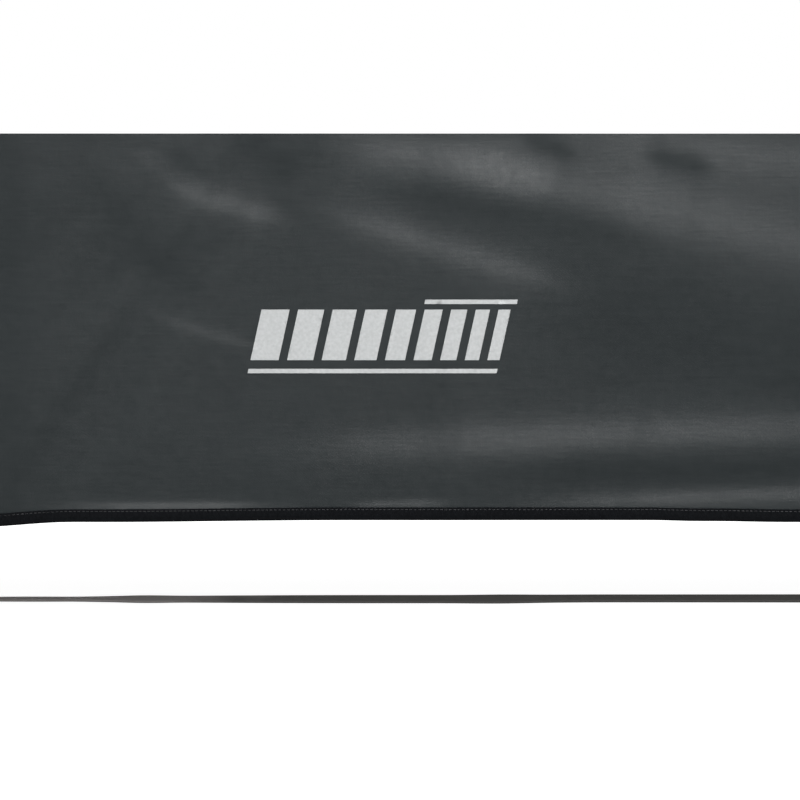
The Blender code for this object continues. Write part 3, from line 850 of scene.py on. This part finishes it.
def make_covers(mats):
    """Flaps behind the windows: the high ones hang closed, the low ones hang open below the sill."""
    run = math.hypot(HALF_HEIGHT, BULGE) / HALF_HEIGHT
    for side in WALLS:
        for level, (sill, head) in levels_of(side).items():
            bottom, top = [x for x, _ in window_outline(sill, head, COVER_LAP)[1:3]]
            tall = head - sill + COVER_LAP / run
            if level == "high":
                hinge, gap, near, far = head, 0.002, top, bottom
            else:
                hinge, gap, near, far = sill, 0.0006, bottom, top
            y0, y1 = hinge - HUB_Z - gap, hinge - HUB_Z - tall
            seed = WALLS[side] / 30 + len(level)

            def surface(x, y):
                down = np.clip((y0 - y) / (y0 - y1), 0, 1)
                wavy = np.sin(x * 17 + seed) * 0.0016 * down + 0.0012 * fractal(x, y, seed, 6.0) * down
                return cloth_height(side, x, y) - COVER_DEPTH - 0.0018 * down + np.minimum(wavy, 0.001)

            outline = [(-near, y0), (-far, y1), (far, y1), (near, y0)]
            name = f"{side}_{level}_cover"
            body = f"{name}_flap"
            obj, area = laid(f"{name}_cloth", outline, [], 0.018, side, surface, mats["wall"],
                             CLOTH, body)
            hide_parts(name)
            tape, thread = Heap(), Heap()
            for n, (a, b) in enumerate(zip(outline, outline[1:])):
                out = -CLOTH - 0.0010 - 0.0004 * (n % 2)
                sweep(tape, beside(a, b, 0.0035), tape_section(0.008, TAPE_THICK, out), surface)
                for height in (0.0001, out - 0.0001):
                    sew(thread, beside(a, b, 0.0035, -0.004), surface, height)
            sewn_tape(name, tape, thread, side, mats, body)


def make_piping(mats):
    """Round piping down the four corner edges and along the four eaves."""
    section, count = circle(PIPING, 10), 60
    corners = [(sx * HALF, sy * HALF) for sx, sy in CORNERS.values()]
    for n, ((x, y), (to_x, to_y)) in enumerate(edges_of(corners)):
        heap = Heap()
        zs = np.linspace(HEM_END_Z + 0.004, HIGH_Z, count)
        heap.add_tube([[(x + s, y + o, z) for s, o in section] for z in zs])
        across = (0, 1) if x != to_x else (1, 0)
        rings = []
        for t in np.linspace(0, 1, count + 1):
            at_x, at_y = x + (to_x - x) * t, y + (to_y - y) * t
            rings.append([(at_x + across[0] * s, at_y + across[1] * s, HIGH_Z + o) for s, o in section])
        heap.add_tube(rings)
        piece(f"corner_piping_{n + 1}", heap.mesh("piping"), mats["binding"])


# Hem bindings and ground straps


def make_bindings(mats):
    """Tape folded round each hem, sewn near its upper edge."""
    tall = BINDING_TALL
    section = [
        (tall, 0.0006), (tall, 0.0012), (tall - 0.0004, 0.0016), (tall * 0.5, 0.0015),
        (0.0012, 0.0014), (0.0002, 0.0008), (-0.0001, -0.0003), (0.0002, -0.0015),
        (0.0012, -0.0021), (tall * 0.5, -0.0022), (tall - 0.0004, -0.0022), (tall, -0.0018),
        (tall, -0.0012), (tall * 0.5, -0.0012), (0.0016, -0.0010), (0.0012, -0.0003),
        (0.0016, 0.0004), (tall * 0.5, 0.0006),
    ]
    for side in WALLS:
        surface = wall_surface(side)
        tape, thread = Heap(), Heap()
        sweep(tape, hem_path(side, end=BINDING_END + HEM_TUCK), section, surface, 0.006)
        obj = on_side(f"{side}_hem_tape", tape.mesh("hem"), side, mats["hem"])
        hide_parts(f"{side}_hem_binding")
        row = hem_path(side, tall - 0.0017, end=BINDING_END - 0.004)
        for out in (0.0014, -0.0021):
            sew(thread, row, surface, out, STITCH, HEM_THREAD_R)
        on_side(f"{side}_hem_stitches", thread.mesh("stitches"), side, mats["hem_thread"])


def strap_lean(x):
    """Leans as the CAD strap does, with a short kink where it was rolled."""
    kink = 3.4 * math.exp(-(((x + 0.205) / 0.022) ** 2)) - 1.4 * math.exp(-(((x + 0.262) / 0.02) ** 2))
    roll = 6.0 * math.exp(-(((x + 0.08) / 0.20) ** 2)) + 2.5 * math.exp(-(((x - 0.08) / 0.03) ** 2))
    return math.radians(9 + 5 * math.sin(x * 4.0) + roll + kink)


def strap_frame(x):
    """The strap's directions across its width and through its thickness."""
    lean = strap_lean(x)
    return Vector((0, math.cos(lean), math.sin(lean))), Vector((0, -math.sin(lean), math.cos(lean)))


def make_straps(mats):
    """Webbing from boot to boot just above the ground, slowly twisting."""
    half, thick, soft = STRAP_WIDTH / 2, STRAP_THICK / 2, 0.0006
    right = [(half - soft, thick), (half, thick * 0.3), (half, -thick * 0.3), (half - soft, -thick)]
    right.append((0.0, -thick))
    section = right + [(-s, -o) for s, o in right]
    reach = STRAP_HALF + STRAP_TUCK
    corners = [(-0.012, -0.007), (0.012, -0.007), (0.012, 0.007), (-0.012, 0.007)]
    rows = edges_of(corners) + [(corners[0], corners[2]), (corners[1], corners[3])]
    for side in ("front", "left", "right"):
        turn = Matrix.Rotation(math.radians(WALLS[side]), 4, "Z")
        heap, thread, rings = Heap(), Heap(), []
        for x in np.linspace(-reach, reach, 280):
            across, normal = strap_frame(x)
            centre = Vector((x, -HALF - STRAP_OUT, STRAP_Z + 0.0006 * step_up((x - 0.05) / 0.12)))
            rings.append([centre + across * s + normal * o for s, o in section])
        heap.add_tube(rings)
        mesh = heap.mesh("strap")
        mesh.transform(turn)
        obj = piece(f"{side}_strap_webbing", mesh, mats["webbing"])
        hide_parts(f"{side}_ground_strap")
        for sx in (-1, 1):
            across, normal = strap_frame(sx * STRAP_HALF)
            hold = Matrix((Vector((1, 0, 0)), across, normal)).transposed().to_4x4()
            hold.translation = (sx * (STRAP_HALF - 0.020), -HALF - STRAP_OUT, STRAP_Z)
            box = Heap()
            for a, b in rows:
                sew(box, [a, b], lambda x, y: 0 * x, STRAP_THICK / 2 + 0.0001, 0.0035)
            thread.add([turn @ hold @ Vector(v) for v in np.vstack(box.verts)], box.faces)
        piece(f"{side}_strap_stitches", thread.mesh("stitches"), mats["thread"])


# Hubs and poles


def lathe(heap, profile, steps, close=False):
    """A profile of (radius, height) points turned about Z; its ends lie on the axis unless closed."""
    turns = [2 * math.pi * k / steps for k in range(steps)]
    verts = [(r * math.cos(a), r * math.sin(a), z) for a in turns for r, z in profile]
    n = len(profile)
    faces = []
    for k in range(steps):
        m = (k + 1) % steps
        for i in range(n if close else n - 1):
            j = (i + 1) % n
            faces.append((k * n + i, k * n + j, m * n + j, m * n + i))
    mesh = bpy.data.meshes.new("lathe")
    mesh.from_pydata(verts, [], faces)
    with editing(mesh) as bm:
        bmesh.ops.remove_doubles(bm, verts=bm.verts, dist=1e-6)
        bmesh.ops.dissolve_degenerate(bm, edges=bm.edges, dist=1e-7)
    heap.add_mesh(mesh)
    bpy.data.meshes.remove(mesh)


def box_verts(low, high):
    (x0, y0, z0), (x1, y1, z1) = low, high
    verts = [(x, y, z) for z in (z0, z1) for x, y in ((x0, y0), (x1, y0), (x1, y1), (x0, y1))]
    faces = [(3, 2, 1, 0), (4, 5, 6, 7), (0, 1, 5, 4), (1, 2, 6, 5), (2, 3, 7, 6), (3, 0, 4, 7)]
    return verts, faces


def box_mesh(low, high, turn):
    heap = Heap()
    heap.add(*box_verts(low, high))
    mesh = heap.mesh("box")
    mesh.transform(turn)
    return mesh


def cut(mesh, cutters):
    """The mesh with the cutters' meshes taken out of it, and its edges broken."""
    obj = new_object("blank", mesh)
    tools = [new_object("tool", cutter) for cutter in cutters]
    for tool in tools:
        made = obj.modifiers.new("cut", "BOOLEAN")
        made.operation = "DIFFERENCE"
        made.object = tool
    bevel(obj, 0.0006, 50)
    done = baked(obj)
    for tool in tools:
        bpy.data.objects.remove(tool, do_unlink=True)
    return done


def hub_blank(half_x, half_y):
    """The moulded hub: a ribbed disc with a slot for each pole and a pocket to each side of it."""
    heap = Heap()
    profile = [
        (0, 0.0012), (0.0125, 0.0012), (0.0138, 0.0), (0.014, HUB_TOP), (HUB_R - 0.006, HUB_TOP),
        (HUB_R - 0.002, HUB_TOP - 0.0015), (HUB_R, HUB_TOP - 0.004), (HUB_R, -0.028),
        (HUB_R - 0.0012, -0.030), (HUB_R, -0.032), (HUB_R, HUB_BOTTOM + 0.004),
        (HUB_R - 0.0015, HUB_BOTTOM + 0.0012), (HUB_R - 0.005, HUB_BOTTOM), (0.022, HUB_BOTTOM),
        (0.0205, HUB_BOTTOM + 0.0025), (0.0125, HUB_BOTTOM + 0.0025), (0.0110, HUB_BOTTOM),
        (0, HUB_BOTTOM),
    ]
    lathe(heap, profile, 48)
    slot_in, half_slot = 0.0265, SLOT_WIDTH / 2
    pocket_in, pocket_out, pocket_y, half_pocket, pocket_deep = 0.030, 0.047, 0.0165, 0.0035, 0.004
    cutters = []
    for sx, sy in QUARTERS.values():
        turn = Matrix.Rotation(math.atan2(sy * half_y, sx * half_x), 4, "Z")
        cutters.append(box_mesh((slot_in, -half_slot, -0.06), (0.09, half_slot, -0.001), turn))
        for y in (-pocket_y, pocket_y):
            low = (pocket_in, y - half_pocket, HUB_BOTTOM - 0.01)
            high = (pocket_out, y + half_pocket, HUB_BOTTOM + pocket_deep)
            cutters.append(box_mesh(low, high, turn))
    return cut(heap.mesh("hub"), cutters)


def cap_blank():
    """The dished cap, with a rolled rim and raised spokes."""
    heap = Heap()
    profile = [
        (0, 0.0105), (0.011, 0.0105), (0.0135, 0.0120), (0.0165, 0.0115), (0.020, 0.0080),
        (0.032, 0.0045), (0.043, 0.0018), (0.0455, 0.0022), (0.048, 0.0016), (CAP_R - 0.0005, -0.0008),
        (CAP_R, -0.0030), (CAP_R, -0.0055), (CAP_R - 0.001, -0.0062), (0.030, -0.0036), (0.016, -0.0012),
        (0.0155, 0.0019), (0, 0.0019),
    ]
    lathe(heap, profile, 64)
    ridge = ((0.0185, 0.0096, 0.0011), (0.030, 0.0064, 0.0010), (0.0430, 0.0030, 0.0008))
    for k in range(12):
        turn = Matrix.Rotation(2 * math.pi * k / 12, 3, "Z")
        heap.add_tube([
            [turn @ Vector((r, y, z - drop))
             for y, drop in ((-wide, 0.003), (-wide * 0.6, 0), (wide * 0.6, 0), (wide, 0.003))]
            for r, z, wide in ridge
        ])
    return heap.mesh("cap")


def loop_blank():
    """The webbing pull loop: a strap folded into an arch."""
    heap = Heap()
    half, thick, wide, tall = 0.0062, 0.0008, 0.0138, 0.0188
    right = [(half - 0.0005, thick), (half, 0), (half - 0.0005, -thick)]
    section = [(-half, 0), (-half + 0.0005, thick), *right, (-half + 0.0005, -thick)]
    rings = []
    for a in np.linspace(0, math.pi, 29):
        centre = Vector((wide * math.cos(a), 0, 0.0092 + tall * math.sin(a)))
        outward = Vector((math.cos(a) / wide, 0, math.sin(a) / tall)).normalized()
        rings.append([centre + Vector((0, y, 0)) + outward * o for y, o in section])
    heap.add_tube(rings)
    return heap.mesh("loop")


def pole_blanks(length):
    """A pole along +Z from its pivot, in three meshes: rod, metal ferrule, and nylon ends."""
    rod, ferrule, ends = Heap(), Heap(), Heap()
    lathe(rod, [(0, length - 0.012), (ROD_R, length - 0.012), (ROD_R, 0.060), (0, 0.060)], 20)
    f = FERRULE_R
    profile = [(0, 0.0785), (f - 0.0012, 0.0785), (f, 0.0772), (f, 0.070), (f - 0.0007, 0.0692),
               (f - 0.0007, 0.0672), (f, 0.0664), (f, 0.036), (f - 0.0007, 0.0352), (f - 0.0007, 0.0332),
               (f, 0.0324), (f, 0.0252), (f - 0.0009, 0.0240), (0, 0.0240)]
    lathe(ferrule, profile, 24)
    t = TIP_R
    tip = [(0, 0), (t - 0.0035, 0.0002), (t - 0.001, 0.0014), (t, 0.0035), (t, 0.012), (t - 0.0006, 0.0126),
           (t - 0.0006, 0.0146), (t, 0.0152), (t, 0.029), (t - 0.0006, 0.030), (ROD_R + 0.0001, 0.0312),
           (0, 0.0312)]
    lathe(ends, [(r, length - back) for r, back in tip], 20)
    eye = [(0, 0.0242), (0.0056, 0.0242), (0.0053, 0.0190), (0.0060, 0.0120), (0.0062, 0.004),
           (0.0060, -0.0030), (0.0048, -0.0060), (0.0024, -0.0070), (0, -0.0071)]
    lathe(ends, eye, 20)
    pin = Heap()
    half = PIN_LENGTH / 2
    profile = [(0, half), (PIN_R - 0.0007, half), (PIN_R, half - 0.0006), (PIN_R, -half + 0.0006),
               (PIN_R - 0.0007, -half), (0, -half)]
    lathe(pin, profile, 16)
    verts = np.vstack(pin.verts)
    ends.add(verts[:, [2, 1, 0]], pin.faces)
    return {"rod": rod.mesh("rod"), "ferrule": ferrule.mesh("ferrule"), "ends": ends.mesh("ends")}


def make_hub_sets(mats):
    cap, loop = cap_blank(), loop_blank()
    finishes = {"rod": ("rod", "fibreglass_rod"), "ferrule": ("ferrule", "slider_zinc"),
                "ends": ("nylon", "moulded_nylon")}
    for side in SIDES:
        half_x, half_y, rise = SHAPE[side]
        body = f"{side}_hub_set"
        moulded = {"hub_body": ("hub", hub_blank(half_x, half_y)), "cap_plate": ("hub_cap", cap.copy())}
        for name, (node, mesh) in moulded.items():
            made = on_side(f"{side}_{name}", mesh, side, mats["nylon"], body, False, 35)
            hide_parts(f"{side}_{node}")
        on_side(f"{side}_pull_loop", loop.copy(), side, mats["webbing_plain"], body, False)
        blanks = None
        for quarter, (sx, sy) in QUARTERS.items():
            corner = Vector((sx * half_x, sy * half_y, -rise))
            flat = Vector((corner.x, corner.y, 0)).normalized()
            pivot = flat * PIN_RADIUS_OUT - Vector((0, 0, PIN_DEPTH))
            tip = corner * (1 - TIP_BACK / corner.length) - Vector((0, 0, TIP_DEPTH))
            blanks = blanks or pole_blanks((tip - pivot).length)
            along = (tip - pivot).normalized()
            pin_axis = Vector((-tip.y, tip.x, 0)).normalized()
            where = Matrix((pin_axis, along.cross(pin_axis), along)).transposed().to_4x4()
            where.translation = pivot
            node = f"{side}_pole_{quarter}"
            for part, (mat, slot) in finishes.items():
                mesh = blanks[part].copy()
                mesh.transform(where)
                made = on_side(f"{node}_{part}", mesh, side, mats[mat], f"{node}_body", False)
                if part == "rod":
                    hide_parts(node)


# Corner boots


def corner_cut(sx, sy, half_x, half_y, beyond=0.0042):
    """A corner patch's cut: a rounded quarter disc, a little past both edges of its side."""
    cx, cy = sx * half_x, sy * half_y
    start = math.degrees(math.atan2(-sy, -sx)) - 45
    rim = arc((cx, cy), BOOT_R, start, start + 90, 18)
    ex, ey = cx + sx * beyond, cy + sy * beyond
    first, last = rim[0], rim[-1]
    if abs(first[0] - cx) < abs(first[1] - cy):
        first, last = (ex, first[1]), (last[0], ey)
    else:
        first, last = (first[0], ey), (ex, last[1])
    return [first, *rim[1:-1], last, (ex, ey)]


def make_boots(mats):
    """Patches of coated cloth over each corner, one on each side they cover."""
    for side in SIDES:
        half_x, half_y, _ = SHAPE[side]

        def surface(x, y):
            return cloth_height(side, np.clip(x, -half_x, half_x), np.clip(y, -half_y, half_y)) + 0.0032

        for quarter, (sx, sy) in QUARTERS.items():
            name = f"{side}_{quarter}_boot"
            laid(f"{name}_patch", corner_cut(sx, sy, half_x, half_y), [], 0.010, side, surface,
                 mats["patch"], 0.0018)
            thread = Heap()
            start = math.degrees(math.atan2(-sy, -sx)) - 45
            for inset in (0.003, 0.007):
                row = arc((sx * half_x, sy * half_y), BOOT_R - inset, start + 2, start + 88, 24)
                sew(thread, row, surface, 0.0002, 0.004)
            on_side(f"{name}_stitches", thread.mesh("stitches"), side, mats["thread"])


def make_feet(mats):
    """The moulded pads, with tread rings and a tab with its peg hole."""
    profile = [(0, 0.040), (0.027, 0.040), (0.0295, 0.0392), (0.031, 0.0375), (0.038, 0.0282),
               (0.0395, 0.0280), (0.0445, 0.0190), (0.0455, 0.0178), (0.0505, 0.0105),
               (0.052, 0.0090), (0.052, 0.0012), (0.0508, 0.0), (0.044, 0.0), (0.043, 0.0012),
               (0.034, 0.0012), (0.033, 0.0), (0.024, 0.0), (0.023, 0.0012), (0, 0.0012)]
    for n, (corner, (sx, sy)) in enumerate(CORNERS.items()):
        heap = Heap()
        lathe(heap, profile, 56)
        where = Matrix.Translation((sx * (HALF - FOOT_IN), sy * (HALF - FOOT_IN), 0))
        outward = where @ Matrix.Rotation(math.atan2(sy, sx), 4, "Z")
        for part, mesh, place in (("foot", heap.mesh("pad"), where), ("peg_tab", tab_blank(), outward)):
            mesh.transform(place)
            obj = piece(f"corner_{n + 1}_{part}", mesh, mats["foot"], angle=35)
            if part == "foot":
                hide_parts(f"lower_boot_{corner}", f"upper_boot_{corner}")


def tab_blank():
    """The peg tab: a tongue with a raised rim round its hole."""
    wide, hole_x = 0.018, 0.080
    outline = [(0.030, -wide), (0.083, -wide)] + arc((0.083, 0.0), wide, -80, 80, 12)
    outline = [(min(x, 0.100), y) for x, y in outline + [(0.083, wide), (0.030, wide)]]
    mesh = panel_mesh("tab", outline, [circle(0.006, 28, (hole_x, 0.0))], 0.006)
    tongue = thicken(new_object("tab", mesh), 0.0068, 1.0)
    bevel(tongue, 0.0012)
    heap = Heap()
    rim = [(0.0062, 0.0066), (0.0068, 0.0080), (0.0088, 0.0084), (0.0102, 0.0076), (0.0106, 0.0064)]
    rim += [(0.0100, 0.0050), (0.0068, 0.0050)]
    lathe(heap, rim, 28, close=True)
    ring = heap.mesh("ring")
    ring.transform(Matrix.Translation((hole_x, 0, 0)))
    joined = Heap()
    joined.add_mesh(baked(tongue))
    joined.add_mesh(ring)
    return joined.mesh("tab")


# Door


def line_meeting(p, q, r, s):
    d, e = q - p, s - r
    t = ((r.x - p.x) * e.y - (r.y - p.y) * e.x) / (d.x * e.y - d.y * e.x)
    return p + d * t


def inset_door(legs, hinge):
    """The doorway triangle drawn in by one distance along its zipped legs, another at the hinge."""
    nose, foot, top = DOORWAY
    lower, rear, upper = beside(nose, foot, legs), beside(foot, top, hinge), beside(top, nose, legs)
    return line_meeting(*upper, *lower), line_meeting(*lower, *rear), line_meeting(*rear, *upper)


def make_door(mats):
    surface = wall_surface("back")
    flap = [tuple(p) for p in inset_door(CHAIN_WIDTH + 2 * DOOR_GAP, DOOR_GAP)]
    obj, area = laid("door_cloth", flap, [], PANEL_STEP, "back", surface, mats["wall"],
                     CLOTH, "door")
    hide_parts("door_flap")
    nose, foot, top = flap
    tape, thread = Heap(), Heap()
    for n, (a, b) in enumerate(((nose, foot), (top, nose))):
        lift = 0.0004 * n
        sweep(tape, beside(a, b, 0.006), tape_section(0.012, 0.0008, 0.0002 + lift), surface)
        for aside in (0.0035, 0.0085):
            sew(thread, beside(a, b, aside, -0.006), surface, 0.0012 + lift)
    sewn_tape("door_edge", tape, thread, "back", mats, "door")
    hinge, thread = Heap(), Heap()
    x = DOOR_HINGE_X + 0.004
    foot_y, top_y = DOOR_FOOT - HUB_Z + 0.004, DOOR_TOP - HUB_Z - 0.004
    sweep(hinge, [(x, foot_y), (x, top_y)], tape_section(0.016, TAPE_THICK, 0.0003), surface)
    for aside in (-0.005, 0.005):
        sew(thread, [(x + aside, foot_y), (x + aside, top_y)], surface, 0.0013)
    sewn_tape("door_hinge", hinge, thread, "back", mats)


def make_zip(mats):
    """The zip: a woven tape and a row of moulded teeth on the wall and on the door, and two sliders."""
    surface = wall_surface("back")
    nose, foot, top = inset_door(DOOR_GAP + CHAIN_WIDTH / 2, 0.0)
    verts, faces = box_verts((-0.00045, -0.0016, -0.0010), (0.00045, 0.0016, 0.0010))
    verts = np.array(verts)
    section = tape_section(ZIP_TAPE, TAPE_THICK, -0.0018)
    for part, body, aside in (("wall", "root", -1), ("door", "door", 1)):
        tape, teeth = Heap(), Heap()
        for a, b in ((nose, foot), (top, nose)):
            sweep(tape, beside(a, b, aside * (ZIP_TAPE / 2 + 0.0002)), section, surface)
            ahead = (b - a).normalized()
            left = Vector((-ahead.y, ahead.x))
            count = int((b - a).length / TOOTH_PITCH)
            first = 0.5 + 0.25 * aside
            spots = [a + ahead * ((i + first) * TOOTH_PITCH) + left * (aside * 0.0008) for i in range(count)]
            xs, ys = np.array([tuple(p) for p in spots]).T
            lay = np.array([[ahead.x, left.x, 0], [ahead.y, left.y, 0], [0, 0, 1]])
            for x, y, z in zip(xs, ys, surface(xs, ys)):
                teeth.add(verts @ lay.T + (x, y, z - 0.0004), faces)
        made = on_side(f"{part}_zip_tape", tape.mesh("tape"), "back", mats["zip"], body)
        if part == "wall":
            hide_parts("door_zip_chain")
        on_side(f"{part}_zip_teeth", teeth.mesh("teeth"), "back", mats["teeth"], body)
    slope = BULGE / HALF
    for name, end in (("door_slider_lower", foot), ("door_slider_upper", top)):
        along = (end - nose).normalized()
        start = nose + along * 0.040
        z = float(surface(np.array([start.x]), np.array([start.y]))[0])
        ahead = Vector((along.x, along.y, -slope * along.x)).normalized()
        aside = Vector((-along.y, along.x, 0)).normalized()
        where = Matrix((ahead, aside, ahead.cross(aside))).transposed().to_4x4()
        where.translation = (start.x, start.y, z + 0.0010)
        mesh = slider_blank()
        mesh.transform(where)
        made = on_side(f"{name}_crown", mesh, "back", mats["metal"], f"{name}_body", True, 35)
        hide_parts(name)


def slider_blank():
    """A zip slider: a waisted crown with its bridge, and a pull that lies back along the zip."""
    heap = Heap()
    crown = [(-0.008, -0.0040), (-0.005, -0.0046), (0.001, -0.0042), (0.006, -0.0054), (0.0085, -0.0030)]
    crown += [(0.0093, 0.0)] + [(x, -y) for x, y in reversed(crown)]
    levels = ((0.0, 0.94), (0.0003, 1.0), (0.0015, 1.0), (0.0019, 0.93))
    rings = [[(x * grow, y * grow, z) for x, y in crown] for z, grow in levels]
    heap.add_tube(rings)
    edge = [(-0.0011, -0.0005), (0.0011, -0.0005), (0.0011, 0.0005), (-0.0011, 0.0005)]
    rings = []
    for a in np.linspace(0, math.pi, 9):
        x, z = 0.0005 + 0.0045 * math.cos(a), 0.0018 + 0.0021 * math.sin(a)
        rings.append([(x, y, z + up) for y, up in edge])
    heap.add_tube(rings)
    back, neck, narrow = -0.0275, -0.004, 0.0026
    pull = arc((back, 0.0), 0.0032, 90, 270, 8) + [(neck, -narrow)]
    pull += arc((neck, 0.0), narrow, -70, 70, 6) + [(neck, narrow)]
    holes = [circle(0.0016, 12, (-0.0265, 0.0)), circle(0.0013, 12, (-0.0038, 0.0))]
    done = baked(thicken(new_object("pull", panel_mesh("pull", pull, holes, 0.003)), 0.0014, 1.0))
    done.transform(Matrix.Translation((0, 0, 0.0019)))
    heap.add_mesh(done)
    return heap.mesh("slider")


# Print


def make_print(mats):
    """A generic mark on the front: a row of slanted bars over a thin rule. It spells nothing."""
    surface = wall_surface("front")
    slant, gap = 0.22, 0.0068
    x, bars = MARK_LEFT, []
    for i in range(9):
        wide = 0.0225 - 0.0016 * i
        bars.append((x, x + wide, MARK_LOW + 0.0105, MARK_HIGH))
        x += wide + gap
    right = x - gap
    bars.append((MARK_LEFT, right, MARK_LOW, MARK_LOW + 0.0035))
    bars.append((right - 0.070, right + 0.004, MARK_HIGH + 0.0045, MARK_HIGH + 0.0080))
    for n, (x0, x1, z0, z1) in enumerate(bars):
        corners = ((x0, z0), (x1, z0), (x1, z1), (x0, z1))
        outline = [(x + (z - MARK_LOW) * slant, z - HUB_Z) for x, z in corners]
        laid(f"front_mark_{n + 1}", outline, [], 0.004, "front", lambda x, y: surface(x, y) + 0.00022,
             mats["print"], 0.0002)


def make_stage():
    """A pale floor and a white room. The camera sees both near white; the object is lit by a
    softer room that is dim below and bright above, so that folds in the cloth show."""
    bpy.ops.mesh.primitive_plane_add(size=400, location=(0, 0, -0.0005))
    floor = bpy.context.object
    floor.name = "floor"
    mat = bpy.data.materials.new("pale_floor")
    mat.use_nodes = True
    tree = mat.node_tree
    seen = add_node(tree, "LightPath").outputs["Is Camera Ray"]
    glow = add_node(tree, "Math", {0: seen, 1: 0.97}, operation="MULTIPLY").outputs[0]
    set_inputs(tree, tree.nodes["Principled BSDF"], {
        "Base Color": (0.34, 0.34, 0.34, 1), "Roughness": 1.0, "Specular IOR Level": 0.0,
        "Emission Color": (1, 1, 1, 1), "Emission Strength": glow,
    })
    floor.data.materials.append(mat)
    world = bpy.data.worlds.new("studio")
    bpy.context.scene.world = world
    world.use_nodes = True
    tree = world.node_tree
    place = add_node(tree, "TexCoord").outputs["Generated"]
    height = add_node(tree, "SeparateXYZ", {0: place}).outputs["Z"]
    lift = add_node(tree, "MapRange", {"Value": height, "From Min": -0.5, "From Max": 1.0})
    ramp = add_node(tree, "ValToRGB", {0: lift.outputs[0]})
    stops = ramp.color_ramp.elements
    stops[0].position, stops[0].color = 0.30, (0.25, 0.25, 0.25, 1)
    stops[1].position, stops[1].color = 1.00, (0.75, 0.77, 0.80, 1)
    stops.new(0.48).color = (1.0, 1.0, 1.0, 1)
    seen = add_node(tree, "LightPath").outputs["Is Camera Ray"]
    room = {"Factor": seen, "A": ramp.outputs[0], "B": (1, 1, 1, 1)}
    pick = add_node(tree, "Mix", room, data_type="RGBA").outputs["Result"]
    set_inputs(tree, tree.nodes["Background"], {"Color": pick, "Strength": 1.0})
    bpy.context.scene.view_settings.view_transform = "Standard"


def aimed(name, data, place, target):
    """A light or camera at a place, turned to a target."""
    obj = new_object(name, data)
    obj.location = place
    obj.rotation_euler = (Vector(target) - Vector(place)).to_track_quat("-Z", "Y").to_euler()
    return obj


def area_light(name, place, target, size, power):
    data = bpy.data.lights.new(name, "AREA")
    data.shape = "RECTANGLE"
    data.size, data.size_y = size
    data.energy = power
    aimed(name, data, place, target).visible_camera = False


def make_camera():
    data = bpy.data.cameras.new("camera")
    data.sensor_width = 36.0
    data.lens = data.sensor_width * CAMERA_BACK / FRAME_WIDTH
    data.clip_start = 0.1
    data.clip_end = 1000.0
    plane_y = -HALF - 0.05
    place, target = (0, plane_y - CAMERA_BACK, CAMERA_Z), (0, plane_y, AIM_Z)
    bpy.context.scene.camera = aimed("camera", data, place, target)


def make_materials():
    dark, light = (0.0118, 0.0152, 0.0163), (0.0164, 0.0204, 0.0217)
    return {
        "wall": cloth_material("coated_cloth", False, dark, light, 0.40),
        "roof": cloth_material("coated_cloth_roof", True, dark, light, 0.60),
        "seam": cloth_material("seam_cloth", False, (0.010, 0.0125, 0.0135), (0.014, 0.017, 0.018), 0.46),
        "patch": cloth_material("patch_cloth", False, (0.0085, 0.0095, 0.0105), (0.013, 0.0145, 0.0155)),
        "binding": tape_material("grosgrain", (0.008, 0.009, 0.010), (0.013, 0.014, 0.0155), 0.0012),
        "hem": tape_material("hem_grosgrain", (0.0018, 0.0022, 0.0030), (0.0040, 0.0047, 0.0058), 0.0012,
                             specular=0.10),
        "webbing": webbing_material("webbing"),
        "webbing_plain": tape_material("pull_webbing", (0.016, 0.017, 0.018), (0.03, 0.031, 0.032), 0.0016),
        "thread": thread_material("thread", (0.030, 0.033, 0.036)),
        "hem_thread": thread_material("hem_thread", (0.0036, 0.0042, 0.0056)),
        "nylon": moulded_material("moulded_nylon", (0.012, 0.012, 0.013), (0.020, 0.020, 0.021), 0.42),
        "foot": moulded_material("moulded_foot", (0.014, 0.014, 0.015), (0.024, 0.024, 0.025), 0.6, 1200),
        "rod": moulded_material("fibreglass", (0.020, 0.021, 0.022), (0.040, 0.041, 0.042), 0.3, 400),
        "ferrule": metal_material("ferrule_steel", (0.42, 0.42, 0.43), (0.58, 0.58, 0.59), 0.34),
        "metal": metal_material("slider_zinc", (0.13, 0.13, 0.14), (0.24, 0.24, 0.25), 0.38),
        "zip": tape_material("zip_tape", (0.007, 0.008, 0.009), (0.012, 0.013, 0.014), 0.0009),
        "teeth": moulded_material("zip_teeth", (0.012, 0.012, 0.013), (0.02, 0.02, 0.021), 0.4, 2000),
        "print": print_material("screen_print", (0.44, 0.45, 0.45)),
    }


def main():
    mats = make_materials()
    make_stage()
    make_camera()
    area_light("key", (1.2, -6.2, 1.35), (0.05, -1, 0.28), (2.6, 0.7), 242)
    area_light("sky", (-2.0, -5.0, 5.0), (0, -1, 0.8), (3.0, 3.0), 130)
    area_light("top", (0.0, 0.8, 7.0), (0, 0.4, 1.8), (4.0, 4.0), 170)
    area_light("back", (0.0, 6.8, 1.0), (0, 0.9, 0.9), (4.5, 1.2), 260)
    area_light("left", (-6.8, 0.0, 1.0), (-0.9, 0, 0.9), (4.5, 1.2), 200)
    area_light("right", (6.8, 0.0, 1.0), (0.9, 0, 0.9), (4.5, 1.2), 200)
    make_walls(mats)
    make_seams(mats)
    make_windows(mats)
    make_covers(mats)
    make_piping(mats)
    make_bindings(mats)
    make_straps(mats)
    make_hub_sets(mats)
    make_boots(mats)
    make_feet(mats)
    make_door(mats)
    make_zip(mats)
    make_print(mats)


main()
